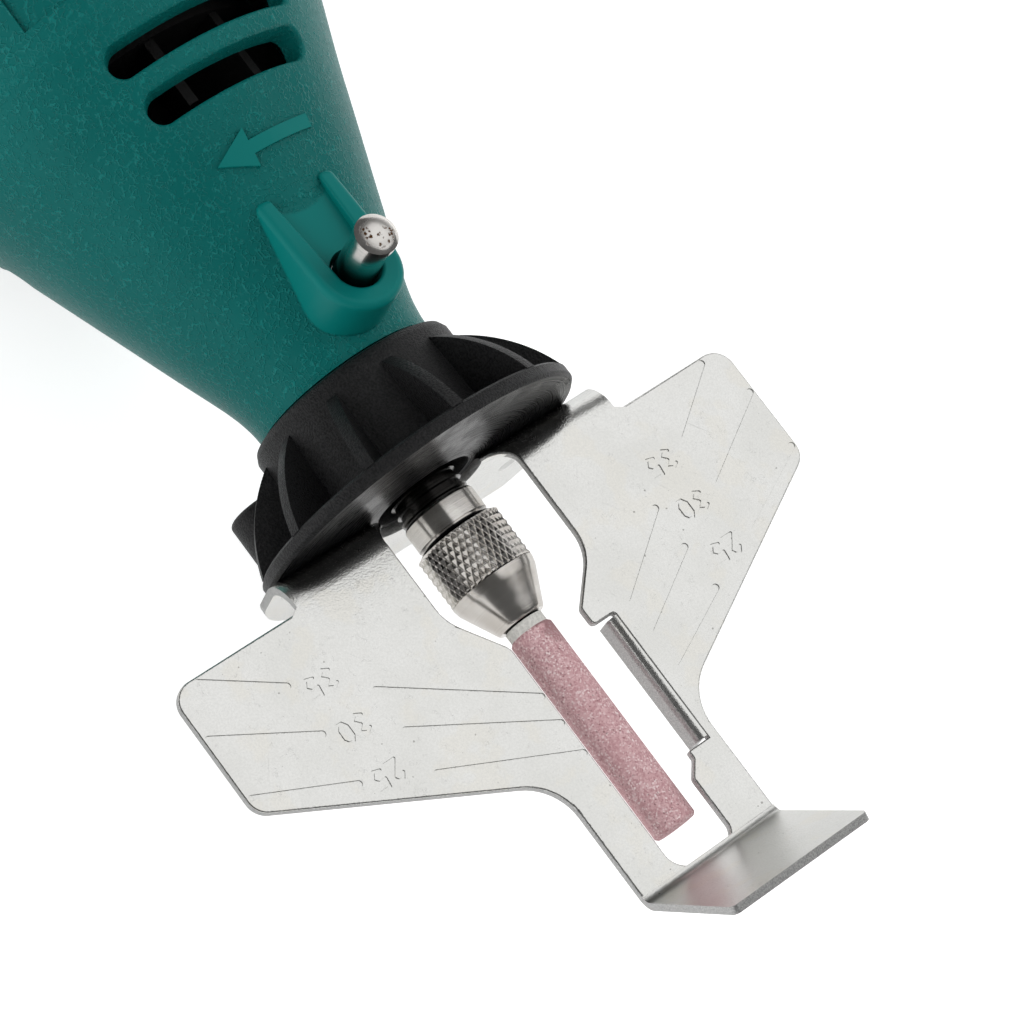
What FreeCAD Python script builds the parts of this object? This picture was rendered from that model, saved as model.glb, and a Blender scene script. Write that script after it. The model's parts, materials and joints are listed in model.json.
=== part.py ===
"""Electric mini grinder with a saw-chain sharpening guide, in millimetres.

The model is drawn with the spindle on the X axis, its tip towards +X, and x = 0 on the front face
of the guide holder's flange. Angles round the spindle are counted from the top (+Z) towards +Y.
Each piece is moved to the row frame as it is written: origin on the flat under the barrel, +Z up.
"""
import FreeCAD, Part
import os
from math import cos, pi, radians, sin, tan

V = FreeCAD.Vector
AXIS = V(1, 0, 0)
CENTRE = V(0, 0, 0)

# Frame
REST_X = -98.0             # middle of the rest flat, behind the flange face
AXIS_HEIGHT = 25.6         # spindle axis above the rest flat

# Fits between pieces
RUN_GAP = 0.3              # between curved faces that move past each other
PIVOT_GAP = 0.05           # radial clearance of a pin in its hole

# Front housing
SHOULDER_X = -14.8         # front shoulder behind the guide holder
NOSE_R = 11.6
CONE_SLOPE = 0.36          # radius gained per millimetre towards the back
CONE_START = (-24.2, 13.9)
BARREL_X = -60.0           # crease between the cone and the barrel
BARREL_R = 26.8
JOINT_X = -132.0           # where the rear cover meets the housing
JOINT_R = 26.2
WALL = 2.6
SPIGOT_R = 9.5             # threaded nose, 3/4 inch across
SPIGOT_X = -2.6
SPIGOT_PITCH = 2.117       # 12 threads to the inch

# Air vents: x and half angle of each slot, before its round ends
VENTS_ABOVE = ((-47.5, 24.5), (-53.6, 26.3))
VENTS_BELOW = ((-48.9, 57.0), (-55.3, 57.0))
VENT_WIDTH = 3.7
VENT_RIM = 0.5             # rounding of the outer edge
VENT_FLOOR_R = 12.0        # how deep the cutters reach

# Raised arrow and bare label panel
ARROW_X = -38.9
ARROW_HEIGHT = 0.45
ARROW_TIP_Y = -7.1
ARROW_TAIL_Y = 5.8
ARROW_HEAD = 4.4           # length and full width of the head
ARROW_STEM = 1.5
PANEL_FRONT_X = -62.0
PANEL_BACK_X = -106.0
PANEL_HALF = 41.0
PANEL_DEPTH = 0.35

# Spindle lock
PIN_X = -21.7
PIN_R = 2.35
PIN_HEAD_R = 2.55
PIN_DOME_R = 4.2           # rounding of the pin's top
PIN_TOP = 25.6
PIN_STEM_R = 1.75          # thinner lower end, which locks the collar
PIN_SHOULDER = 16.0        # where the return spring pushes
PIN_TIP = 8.5
PIN_TRAVEL = 3.6
BOSS_R = 5.5
BOSS_TOP = 18.0            # rim height over the spindle axis, at the pin
BOSS_FALL = 4.0            # degrees that the rim falls towards the back
BOSS_BACK_X = -33.6
BOSS_EDGE = 0.9            # rounding of the rim
BOSS_INNER_EDGE = 0.4
BOSS_CORNER = 1.0          # rounding of the arms' ends, seen from above
RAMP_SPREAD = 3.2          # degrees that each side of the ramp between the arms opens
RAMP_TOP = 16.5
POCKET_R = 2.85
SPRING_CLOSED = 1.9        # room left for the spring when the pin is pressed
SPRING_TURNS = 3
POCKET_FLOOR = PIN_SHOULDER - PIN_TRAVEL - SPRING_CLOSED
LOCK_COLLAR_R = 8.0
LOCK_COLLAR_X = (-26.0, -17.4)
LOCK_WIRE = 0.22

# Spindle and motor
SPINDLE_R = 4.0
THREAD_R = 4.4
FRONT_BEARING = (-9.0, -4.0, 4.0, 8.0)
REAR_BEARING = (-131.0, -125.5, 3.0, 8.5)
FAN_X = (-58.0, -47.5)
FAN_R = 17.5
FAN_BLADES = 11
STATOR_X = (-102.0, -66.0)
STATOR_R = 23.6
POLE_R = 13.5
CORE_R = 13.2
COMMUTATOR_X = (-121.0, -107.5)
COMMUTATOR_R = 9.0
COMMUTATOR_BARS = 16
BRUSH_X = -114.0
BRUSH_SIZE = (5.0, 6.0)    # along the spindle and upright
BRUSH_TUBE_R = 5.0

# Chuck and grinding stone
CHUCK_R = 4.65
CHUCK_X = (2.7, 5.7)
NUT_R = 5.5
NUT_X = (6.2, 13.7, 18.75)  # back, end of the knurl, tip
NUT_TIP_R = 3.05
NUT_EASE = 0.5             # chamfer between the knurl and the cone
CHUCK_STUD_R = 3.9
COLLET_R = 2.0
SHANK_R = 1.19
STONE_R = 2.75
STONE_X = (20.2, 47.5)
STONE_COLLAR_R = 2.45

# Guide holder
GUIDE_TURN = 6.5           # degrees that the guide is screwed past upright
FLANGE_R = 21.2
FLANGE_T = 1.8
COLLAR_R = 13.3
COLLAR_X = (-14.5, -12.0)
WEB_R = 13.7               # body between the ribs, near the flange
HOLDER_BORE_R = 9.8
HOLDER_FRONT_T = 2.2
HOLE_R = 6.3
RIBS = 11
RIB_T = 1.5
SCREW_Y = 14.2
SCREW_Z = -8.0
SCREW_BOSS_R = 3.9
SCREW_BOSS_X = -10.3
SCREW_R = 1.5
SCREW_HEAD_R = 2.4
SCREW_HEAD_T = 1.6
SCREW_SEAT_X = -8.2        # bottom of the recess that hides the head

# Guide plate, seen from above in the guide's own turned frame
PLATE_T = 1.0
PLATE_EDGE = 0.3           # die roll along the top edges
PLATE_TOP = 3.3
PLATE_BEND = 4.2           # outer radius where the plate turns down to the flange
BASE_LEFT = -22.0
BASE_RIGHT = 24.0
BASE_LOW = -17.8
BASE_R = 23.6              # rounding of the strip's lower corners, about the middle of the strip
WING_BACK_X = 4.7
WING_HALF = 39.9
WING_FRONT_X = 20.9
WING_R = 2.6
ARM_HALF = 9.7
ARM_X = 36.5               # where the slanting wing edge meets the arm
ARM_FILLET = 7.0
FOOT_X = 51.8
FOOT_ANGLE = 69.0
FOOT_LENGTH = 18.1
FOOT_BEND = 1.2            # inner radius
SLOT_LEFT = -4.4
SLOT_RIGHT = 3.8
SLOT_END_R = (2.8, 1.6)  # left and right corners
WINDOW_LEFT = -8.8
WINDOW_RIGHT = 10.5
WINDOW_BACK_X = 1.0        # in the bend
WINDOW_R = 2.6
HOOK_Y = 5.3
TAB_X = (24.0, 41.6)
TAB_Y = 8.3
TAB_DROP = 2.3
TAB_BEND = 0.2             # inner radius

# Stamped angle marks: line angle, x at its inner end, and how far out it runs
MARKS = ((35, 27.7, 36.4), (30, 31.3, 39.2), (25, 35.4, 39.2))
MARK_START = {-1: 5.0, 1: 10.6}    # inner ends on the left and right wings
MARK_ROOT = 4.6            # distance from the middle where a line's x is given
MARK_GAP = (20.3, 28.4)    # left free for the number
MARK_WIDTH = 0.9
MARK_DEPTH = 0.15
DIGIT_HEIGHT = 2.4
DIGIT_WIDTH = 1.35
DIGIT_STROKE = 0.36
DIGIT_PITCH = 2.1
DIGIT_PLACE = {-1: 25.1, 1: 24.3}  # middle of the number, out from the centre line
DIGIT_SHIFT = {-1: -0.6, 1: -1.2}  # and forward of its line

# Rear cover, switch and speed dial
COVER_END_X = -180.0
COVER_LIP_X = -124.5
SLIDER_X = (-152.0, -141.0)
SLIDER_HALF = 5.0
SLIDER_TOP = 27.0
SLIDER_TRAVEL = 4.0
SLIDER_GAP = 0.5           # between the button and the ends of its slot
DIAL_X = -165.0
DIAL_Z = 17.2
DIAL_R = 8.5
DIAL_HALF = 3.0
DIAL_GAP = 0.5
DIAL_NOTCHES = 26
DIAL_PIN_R = 1.5
INLET_R = 3.4
BUSH_R = 5.5
COVER_SCREW_X = -128.2
COVER_SCREW_ANGLES = (55, 125, 235, 305)
INTAKES_X = (-149.0, -154.5, -160.0)
INTAKE_WIDTH = 2.4
INTAKE_SPAN = 24           # degrees each side of a slot's middle


def polar(x, r, angle):
    """Point at radius r, angle degrees round from the top towards +Y."""
    return V(x, r * sin(radians(angle)), r * cos(radians(angle)))


def rod(x0, x1, r):
    return Part.makeCylinder(r, x1 - x0, V(x0, 0, 0), AXIS)


def tube(x0, x1, r_out, r_in):
    return rod(x0, x1, r_out).cut(rod(x0 - 1, x1 + 1, r_in))


def block(x0, x1, y0, y1, z0, z1):
    return Part.makeBox(x1 - x0, y1 - y0, z1 - z0, V(x0, y0, z0))


def cross_rod(r, half):
    """Cylinder on the speed dial's axis, half as long each side of the middle plane."""
    return Part.makeCylinder(r, 2 * half, V(DIAL_X, -half, DIAL_Z), V(0, 1, 0))


def turned(profile):
    """Solid of revolution about the spindle from its (x, r) corners."""
    corners = [V(x, 0, r) for x, r in profile]
    face = Part.Face(Part.makePolygon(corners + corners[:1]))
    return face.revolve(CENTRE, AXIS, 360)


def round_spindle(shape, angle):
    """Copy of shape turned round the spindle, from the top towards +Y for a positive angle."""
    copy = shape.copy()
    copy.rotate(CENTRE, AXIS, -angle)
    return copy


def mirrored(shape):
    """Copy of shape on the other side of the upright middle plane."""
    return shape.mirror(CENTRE, V(0, 1, 0))


def sector(x0, x1, r_out, r_in, middle, half):
    """Part of a tube, half degrees each side of the middle angle."""
    low = middle - half
    high = middle + half
    outer = Part.Arc(polar(x0, r_out, low), polar(x0, r_out, middle), polar(x0, r_out, high))
    inner = Part.Arc(polar(x0, r_in, high), polar(x0, r_in, middle), polar(x0, r_in, low))
    side_a = Part.makeLine(polar(x0, r_out, high), polar(x0, r_in, high))
    side_b = Part.makeLine(polar(x0, r_in, low), polar(x0, r_out, low))
    face = Part.Face(Part.Wire([outer.toShape(), side_a, inner.toShape(), side_b]))
    return face.extrude(V(x1 - x0, 0, 0))


def flat_profile(points, thickness, top):
    """Plate of the given thickness under the height top, from (x, y) corners."""
    corners = [V(x, y, top - thickness) for x, y in points]
    face = Part.Face(Part.makePolygon(corners + corners[:1]))
    return face.extrude(V(0, 0, thickness))


def rounded_outline(corners, height):
    """Closed wire at the given height from (x, y, radius) corners, each rounded by its radius."""
    count = len(corners)
    points = [V(x, y, height) for x, y, radius in corners]
    ends = []
    edges = []
    for i, corner in enumerate(corners):
        here = points[i]
        back = (points[i - 1] - here).normalize()
        ahead = (points[(i + 1) % count] - here).normalize()
        radius = corner[2]
        if radius == 0:
            ends.append((here, here))
            continue
        half = back.getAngle(ahead) / 2
        reach = radius / tan(half)
        middle = (back + ahead).normalize()
        start = here + back * reach
        finish = here + ahead * reach
        crown = here + middle * (radius / sin(half) - radius)
        edges.append(Part.Arc(start, crown, finish).toShape())
        ends.append((start, finish))
    for i in range(count):
        start = ends[i][1]
        finish = ends[(i + 1) % count][0]
        if start.distanceToPoint(finish) > 1e-6:
            edges.append(Part.makeLine(start, finish))
    return Part.Wire(Part.__sortEdges__(edges))


def coil(radius, wire, length, turns):
    """Helical spring standing on the XY plane: a round wire along a smooth curve, 8 points to a turn."""
    points = []
    for i in range(8 * turns + 1):
        angle = pi * i / 4
        points.append(V(radius * cos(angle), radius * sin(angle), length * i / (8 * turns)))
    path = Part.BSplineCurve()
    path.interpolate(points)
    start_way = path.tangent(path.FirstParameter)[0]
    section = Part.Wire(Part.makeCircle(wire, points[0], start_way))
    return Part.Wire(path.toShape()).makePipeShell([section], True, False)


def cone_radius(x):
    return CONE_START[1] + CONE_SLOPE * (CONE_START[0] - x)


def housing_outside():
    """Smooth solid of the nose, cone and barrel, before its openings."""
    nose = [V(SHOULDER_X, 0, NOSE_R), V(-19.0, 0, 12.15), V(CONE_START[0], 0, CONE_START[1])]
    cone = [V(x, 0, cone_radius(x)) for x in (-32.5, -40.6, -47.0)]
    flare = [V(-53.0, 0, 24.45), V(BARREL_X + 1.2, 0, BARREL_R - 0.15)]
    side = Part.BSplineCurve()
    side.interpolate(nose + cone + flare)
    crease = V(BARREL_X - 1.5, 0, BARREL_R)
    end = V(JOINT_X, 0, JOINT_R)
    edges = [side.toShape()]
    corners = [flare[-1], crease, end, V(JOINT_X, 0, 0), V(SHOULDER_X, 0, 0), nose[0]]
    for start, finish in zip(corners, corners[1:]):
        edges.append(Part.makeLine(start, finish))
    return Part.Face(Part.Wire(edges)).revolve(CENTRE, AXIS, 360)


def housing_inside():
    """Cavity from the bearing seat at the nose to the open back."""
    return turned([
        (SPIGOT_X + 1, 0), (SPIGOT_X + 1, FRONT_BEARING[3]), (FRONT_BEARING[0], FRONT_BEARING[3]),
        (FRONT_BEARING[0], HOLE_R), (-16.4, HOLE_R), (-16.4, LOCK_COLLAR_R + 1), (-27.0, LOCK_COLLAR_R + 1),
        (-27.0, cone_radius(-27.0) - WALL - 0.4), (-52.0, cone_radius(-52.0) - WALL - 0.4),
        (BARREL_X, BARREL_R - WALL - 0.3), (JOINT_X - 1, JOINT_R - WALL), (JOINT_X - 1, 0)])


def nose_spigot():
    """Threaded nose: a plain core with a raised ridge for each thread."""
    core = rod(SHOULDER_X - 1, SPIGOT_X, SPIGOT_R - 0.8)
    ridges = int((SPIGOT_X - SHOULDER_X - 3) / SPIGOT_PITCH)
    for i in range(ridges):
        start = SPIGOT_X - 0.4 - i * SPIGOT_PITCH
        ridge = [(start, SPIGOT_R - 0.9), (start - 0.6, SPIGOT_R), (start - 1.0, SPIGOT_R),
                 (start - 1.6, SPIGOT_R - 0.9)]
        core = core.fuse(turned(ridge))
    return core


def vent_cutter(x, middle, span, width=VENT_WIDTH):
    """Round-ended slot through the wall, span degrees each side of the middle angle."""
    half = width / 2
    cutter = sector(x - half, x + half, 40, VENT_FLOOR_R, middle, span)
    for end in (middle - span, middle + span):
        foot = polar(x, VENT_FLOOR_R, end)
        cutter = cutter.fuse(Part.makeCylinder(half, 28, foot, polar(0, 1, end)))
    return cutter


def is_vent_rim(edge):
    """True for a slot's edge in the outer skin, but not for the seam along the top."""
    ends = [vertex.Point for vertex in edge.Vertexes]
    far_out = all(point.y ** 2 + point.z ** 2 > (VENT_FLOOR_R + 4) ** 2 for point in ends)
    near = all(VENTS_BELOW[1][0] - VENT_WIDTH < point.x < VENTS_ABOVE[0][0] + VENT_WIDTH for point in ends)
    on_seam = all(abs(point.y) < 1e-6 and point.z > 0 for point in ends)
    return far_out and near and not on_seam


def vented_outside():
    """The outside with its four slots sunk in, each with a rounded rim."""
    body = housing_outside()
    for x, half in VENTS_ABOVE:
        body = body.cut(vent_cutter(x, 0, half))
    for x, half in VENTS_BELOW:
        body = body.cut(vent_cutter(x, 180, half))
    return body.makeFillet(VENT_RIM, [edge for edge in body.Edges if is_vent_rim(edge)])


def boss_channel():
    """Opening between the boss's arms; its sides run off the pocket's wall and spread to the back."""
    spread = radians(RAMP_SPREAD)
    near = V(PIN_X + POCKET_R * sin(spread), POCKET_R * cos(spread), RAMP_TOP)
    back_x = BOSS_BACK_X - 1
    far = V(back_x, near.y + (near.x - back_x) * tan(spread), RAMP_TOP)
    corners = [near, far, V(far.x, -far.y, far.z), V(near.x, -near.y, near.z), near]
    return Part.Face(Part.makePolygon(corners)).extrude(V(0, 0, 10))


def is_inner_rim(edge):
    """True for the top edges of the boss's channel and pocket."""
    ends = [vertex.Point for vertex in edge.Vertexes]
    return all(abs(point.y) < POCKET_R + 1 and point.z > RAMP_TOP + 0.5 for point in ends)


def is_arm_end(edge):
    """True for the upright edges at the back of the boss's arms."""
    on_end = all(abs(vertex.Point.x - BOSS_BACK_X) < 1e-6 for vertex in edge.Vertexes)
    return on_end and edge.BoundBox.YLength < 1e-6


def lock_boss():
    """U-shaped wall round the lock pin, its arms running back along the cone with a ramp between them."""
    base = 9.5
    front = Part.makeCylinder(BOSS_R, 14, V(PIN_X, 0, base))
    arms = block(BOSS_BACK_X, PIN_X, -BOSS_R, BOSS_R, base, base + 14)
    wall = front.fuse(arms).removeSplitter()
    wall = wall.makeFillet(BOSS_CORNER, [edge for edge in wall.Edges if is_arm_end(edge)])
    lid = block(BOSS_BACK_X - 5, PIN_X + 12, -12, 12, BOSS_TOP, BOSS_TOP + 12)
    lid.rotate(V(PIN_X, 0, BOSS_TOP), V(0, 1, 0), -BOSS_FALL)
    wall = wall.cut(lid)
    top = max(wall.Faces, key=lambda face: face.CenterOfMass.z)
    wall = wall.makeFillet(BOSS_EDGE, top.Edges)
    pocket = Part.makeCylinder(POCKET_R, 16, V(PIN_X, 0, POCKET_FLOOR))
    wall = wall.cut(boss_channel().fuse(pocket))
    return wall.makeFillet(BOSS_INNER_EDGE, [edge for edge in wall.Edges if is_inner_rim(edge)])


def raised_arrow(skin):
    """Arrow moulded round the cone, its head towards -Y, limited to the raised skin."""
    neck = ARROW_TIP_Y + ARROW_HEAD
    half_head = ARROW_HEAD / 2
    half_stem = ARROW_STEM / 2
    outline = [(ARROW_X, ARROW_TIP_Y), (ARROW_X + half_head, neck), (ARROW_X + half_stem, neck),
               (ARROW_X + half_stem, ARROW_TAIL_Y), (ARROW_X - half_stem, ARROW_TAIL_Y),
               (ARROW_X - half_stem, neck), (ARROW_X - half_head, neck)]
    return flat_profile(outline, 12, 26).common(skin)


def below_rest():
    return block(-200, 20, -40, 40, -60, -AXIS_HEIGHT)


def front_housing():
    skin = turned([(-34.0, 8.0), (-34.0, cone_radius(-34.0) + ARROW_HEIGHT),
                   (-45.0, cone_radius(-45.0) + ARROW_HEIGHT), (-45.0, 8.0)])
    body = vented_outside().fuse([lock_boss(), raised_arrow(skin), nose_spigot()])
    body = body.cut(housing_inside())
    panel = sector(PANEL_BACK_X, PANEL_FRONT_X, 40, BARREL_R - 0.25 - PANEL_DEPTH, 0, PANEL_HALF)
    body = body.cut(panel)
    body = body.cut(Part.makeCylinder(POCKET_R, 20, V(PIN_X, 0, POCKET_FLOOR)))
    body = body.cut(Part.makeCylinder(PIN_STEM_R + PIVOT_GAP, 10, V(PIN_X, 0, 7)))
    for side in (-1, 1):
        body = body.cut(Part.makeCylinder(BRUSH_TUBE_R + 0.1, 20, V(BRUSH_X, side * 15, 0), V(0, side, 0)))
    for angle in COVER_SCREW_ANGLES:
        direction = polar(0, 1, angle)
        body = body.cut(Part.makeCylinder(1.6, 20, polar(COVER_SCREW_X, 15, angle), direction))
        body = body.cut(Part.makeCylinder(2.9, 10, polar(COVER_SCREW_X, 24.9, angle), direction))
    return body.cut(below_rest())


def cover_profile(inset):
    """Half outline of the rear cover, drawn in by inset; the back edge is an arc."""
    front = V(JOINT_X, 0, JOINT_R - inset)
    waist = V(-164.0, 0, 24.6 - inset)
    crown = V(-175.2 + inset * 0.7, 0, 21.4 - inset * 0.7)
    back = V(COVER_END_X + inset, 0, 12.5)
    corner = V(COVER_END_X + inset, 0, 0)
    edges = [Part.makeLine(front, waist), Part.Arc(waist, crown, back).toShape(), Part.makeLine(back, corner)]
    edges.append(Part.makeLine(corner, V(JOINT_X, 0, 0)))
    edges.append(Part.makeLine(V(JOINT_X, 0, 0), front))
    return Part.Face(Part.Wire(edges)).revolve(CENTRE, AXIS, 360)


def rear_cover():
    """Closed back of the housing, with lip, bearing cup, air slots, and openings for switch, dial and inlet."""
    shell = cover_profile(0).cut(cover_profile(WALL))
    lip_r = JOINT_R - WALL - 0.1
    lip = tube(JOINT_X - 2.5, COVER_LIP_X, lip_r, lip_r - 2.2)
    web = tube(JOINT_X - 3.0, JOINT_X - 1.2, JOINT_R - WALL + 0.2, 5.0)
    cup = tube(JOINT_X - 2.0, REAR_BEARING[1], 13.0, 11.0)
    shell = shell.fuse([lip, web, cup])
    for angle in (45, 135, 225, 315):
        shell = shell.cut(Part.makeCylinder(3.2, 8, polar(JOINT_X - 6, 17.2, angle), AXIS))
    slot_half = SLIDER_HALF + 0.4
    slot_end = SLIDER_X[1] + SLIDER_TRAVEL + SLIDER_GAP
    slot = block(SLIDER_X[0] - SLIDER_GAP, slot_end, -slot_half, slot_half, 19, 40)
    dial_room = cross_rod(DIAL_R + DIAL_GAP, DIAL_HALF + DIAL_GAP)
    inlet = rod(COVER_END_X - 1, COVER_END_X + 5, BUSH_R)
    shell = shell.cut(slot).cut(dial_room).cut(inlet)
    for x in INTAKES_X:
        for middle in (90, 270):
            shell = shell.cut(vent_cutter(x, middle, INTAKE_SPAN, INTAKE_WIDTH))
    for angle in COVER_SCREW_ANGLES:
        shell = shell.cut(Part.makeCylinder(1.4, 12, polar(COVER_SCREW_X, 15, angle), polar(0, 1, angle)))
    return shell.cut(below_rest())


def cover_screws():
    solids = []
    for angle in COVER_SCREW_ANGLES:
        direction = polar(0, 1, angle)
        shank = Part.makeCylinder(1.4, 4.4, polar(COVER_SCREW_X, 20.6, angle), direction)
        head = Part.makeCylinder(2.6, 1.1, polar(COVER_SCREW_X, 24.9, angle), direction)
        slot = Part.makeBox(0.7, 6, 2, V(-0.35, -3, 25.5))
        slot.rotate(CENTRE, AXIS, -angle)
        slot.translate(V(COVER_SCREW_X, 0, 0))
        solids.append(shank.fuse(head).cut(slot))
    return Part.makeCompound(solids)


def cord_bush():
    """Rubber bush lining the cord inlet; the cord itself isn't part of the model."""
    sleeve = tube(COVER_END_X - 2.2, COVER_END_X + 4.5, BUSH_R, INLET_R)
    flange = tube(COVER_END_X - 2.2, COVER_END_X, BUSH_R + 1.8, INLET_R)
    return sleeve.fuse(flange).removeSplitter()


def bearing(span):
    """Outer ring, inner ring and balls of a deep-groove bearing."""
    x0, x1, bore, outside = span
    wall = 0.27 * (outside - bore)
    ball_r = (outside - bore - 2 * wall) / 2 - 0.06
    pitch_r = bore + wall + ball_r + 0.02
    count = int(2 * pi * pitch_r / (2.6 * ball_r))
    outer = tube(x0, x1, outside, outside - wall)
    inner = tube(x0, x1, bore + wall, bore)
    middle = (x0 + x1) / 2
    balls = [Part.makeSphere(ball_r, polar(middle, pitch_r, 360 * i / count)) for i in range(count)]
    return outer, inner, Part.makeCompound(balls)


def spindle():
    body = turned([
        (-133.0, 0), (-133.0, REAR_BEARING[2]), (-123.5, REAR_BEARING[2]), (-123.5, SPINDLE_R),
        (-2.2, SPINDLE_R), (-2.2, THREAD_R - 0.4), (CHUCK_X[0], THREAD_R - 0.4), (CHUCK_X[0], 3.0),
        (8.0, 3.0), (8.0, 0)])
    for i in range(4):
        start = CHUCK_X[0] - 0.1 - i * 1.2
        ridge = [(start, 3.5), (start - 0.3, THREAD_R), (start - 0.6, THREAD_R), (start - 0.9, 3.5)]
        body = body.fuse(turned(ridge))
    return body


def lock_collar():
    """Steel collar with crossed holes that the lock pin drops into."""
    collar = tube(LOCK_COLLAR_X[0], LOCK_COLLAR_X[1], LOCK_COLLAR_R, SPINDLE_R)
    for angle in (0, 90, 180, 270):
        start = polar(PIN_X, SPINDLE_R - 0.5, angle)
        collar = collar.cut(Part.makeCylinder(PIN_STEM_R + RUN_GAP, 10, start, polar(0, 1, angle)))
    return collar


def fan():
    """Radial cooling fan: hub, back plate and blades."""
    hub = tube(FAN_X[0], FAN_X[1], 6.5, SPINDLE_R)
    plate = tube(FAN_X[0], FAN_X[0] + 1.6, FAN_R, SPINDLE_R)
    wheel = hub.fuse(plate)
    for i in range(FAN_BLADES):
        blade = block(FAN_X[0] + 1.0, FAN_X[1], -0.6, 0.6, 6.0, FAN_R - 0.4)
        blade.rotate(V(0, 0, 6.0), AXIS, 18)
        wheel = wheel.fuse(round_spindle(blade, 360 * i / FAN_BLADES))
    return wheel.removeSplitter()


def baffle_ring():
    return tube(-63.0, -61.2, BARREL_R - WALL - 0.5, 14.0)


def stator_core():
    ring = tube(STATOR_X[0], STATOR_X[1], STATOR_R, 19.4)
    for middle in (0, 180):
        ring = ring.fuse(sector(STATOR_X[0], STATOR_X[1], 19.6, POLE_R, middle, 50))
    return ring.removeSplitter()


def field_coils():
    """A saddle coil round each pole, its sides in the gaps and its ends past the core."""
    coils = []
    for middle in (0, 180):
        saddle = sector(STATOR_X[0] - 3.2, STATOR_X[1] + 2.4, 19.2, 14.2, middle, 84)
        pole_room = sector(STATOR_X[0] - 0.1, STATOR_X[1] + 0.1, 20, 13, middle, 52)
        coils.append(saddle.cut(pole_room))
    return Part.makeCompound(coils)


def armature_core():
    """Laminated core with slots for the windings."""
    core = tube(STATOR_X[0] + 1, STATOR_X[1] - 1, CORE_R, SPINDLE_R)
    for i in range(12):
        slot = block(STATOR_X[0], STATOR_X[1], -0.9, 0.9, CORE_R - 4.5, CORE_R + 1)
        core = core.cut(round_spindle(slot, 30 * i + 15))
    return core


def armature_windings():
    """Rounded end turns at both ends of the core."""
    front = turned([(STATOR_X[1] - 1, SPINDLE_R), (STATOR_X[1] - 1, 11.8), (STATOR_X[1] + 1.6, 11.0),
                    (STATOR_X[1] + 2.8, 8.0), (STATOR_X[1] + 2.8, SPINDLE_R)])
    back = turned([(STATOR_X[0] + 1, SPINDLE_R), (STATOR_X[0] + 1, 11.8), (STATOR_X[0] - 2.6, 11.0),
                   (STATOR_X[0] - 4.6, 7.5), (STATOR_X[0] - 4.6, SPINDLE_R)])
    return Part.makeCompound([front, back])


def commutator():
    drum = tube(COMMUTATOR_X[0], COMMUTATOR_X[1], COMMUTATOR_R, SPINDLE_R)
    for i in range(COMMUTATOR_BARS):
        gap = block(COMMUTATOR_X[0] - 1, COMMUTATOR_X[1] + 1, -0.2, 0.2, COMMUTATOR_R - 1.2, COMMUTATOR_R + 1)
        drum = drum.cut(round_spindle(gap, 360 * i / COMMUTATOR_BARS))
    return drum


def brush_holder():
    """Brass tube on the +Y side: square bore for the brush, round mouth for the cap."""
    half_x = BRUSH_SIZE[0] / 2 + 0.1
    half_z = BRUSH_SIZE[1] / 2 + 0.1
    holder = Part.makeCylinder(BRUSH_TUBE_R, 12.4, V(BRUSH_X, 11.6, 0), V(0, 1, 0))
    bore = block(BRUSH_X - half_x, BRUSH_X + half_x, 11, 25, -half_z, half_z)
    mouth = Part.makeCylinder(4.2, 5, V(BRUSH_X, 20.6, 0), V(0, 1, 0))
    return holder.cut(bore).cut(mouth)


def brush():
    half_x = BRUSH_SIZE[0] / 2
    half_z = BRUSH_SIZE[1] / 2
    return block(BRUSH_X - half_x, BRUSH_X + half_x, COMMUTATOR_R + RUN_GAP, 16.8, -half_z, half_z)


def brush_spring():
    """Plain sleeve in place of the hidden spring behind the brush."""
    sleeve = Part.makeCylinder(2.1, 4.4, V(BRUSH_X, 16.9, 0), V(0, 1, 0))
    return sleeve.cut(Part.makeCylinder(1.7, 6, V(BRUSH_X, 16, 0), V(0, 1, 0)))


def brush_cap():
    """Slotted screw cap over the brush, sunk just under the barrel's skin."""
    plug = Part.makeCylinder(4.2, 3.0, V(BRUSH_X, 21.4, 0), V(0, 1, 0))
    head = Part.makeCylinder(BRUSH_TUBE_R, 1.9, V(BRUSH_X, 24.05, 0), V(0, 1, 0))
    slot = block(BRUSH_X - 6, BRUSH_X + 6, 25.2, 27, -0.6, 0.6)
    return plug.fuse(head).cut(slot)


def lock_pin():
    """Plain pin with a low domed head, and a shoulder for its return spring."""
    dome_z = PIN_TOP - PIN_DOME_R
    head_z = PIN_TOP - 1.9
    stem = Part.makeCylinder(PIN_STEM_R, PIN_SHOULDER - PIN_TIP, V(PIN_X, 0, PIN_TIP))
    shaft = Part.makeCylinder(PIN_R, head_z - PIN_SHOULDER, V(PIN_X, 0, PIN_SHOULDER))
    neck = Part.makeCone(PIN_R, PIN_HEAD_R, 0.3, V(PIN_X, 0, head_z))
    head = Part.makeCylinder(PIN_HEAD_R, 2.0, V(PIN_X, 0, head_z + 0.3))
    dome = Part.makeSphere(PIN_DOME_R, V(PIN_X, 0, dome_z))
    return stem.fuse([shaft, neck, head.common(dome)]).removeSplitter()


def lock_spring():
    free = PIN_SHOULDER - POCKET_FLOOR - 2 * LOCK_WIRE - 0.1
    spring = coil(PIN_STEM_R + RUN_GAP + LOCK_WIRE, LOCK_WIRE, free, SPRING_TURNS)
    spring.translate(V(PIN_X, 0, POCKET_FLOOR + LOCK_WIRE + 0.05))
    return spring


def chuck_body():
    return turned([
        (CHUCK_X[0], 3.0), (CHUCK_X[0], CHUCK_R - 0.2), (CHUCK_X[0] + 0.3, CHUCK_R), (CHUCK_X[1], CHUCK_R),
        (CHUCK_X[1], CHUCK_STUD_R), (12.8, CHUCK_STUD_R), (12.8, COLLET_R), (8.0, COLLET_R), (8.0, 3.0)])


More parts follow.
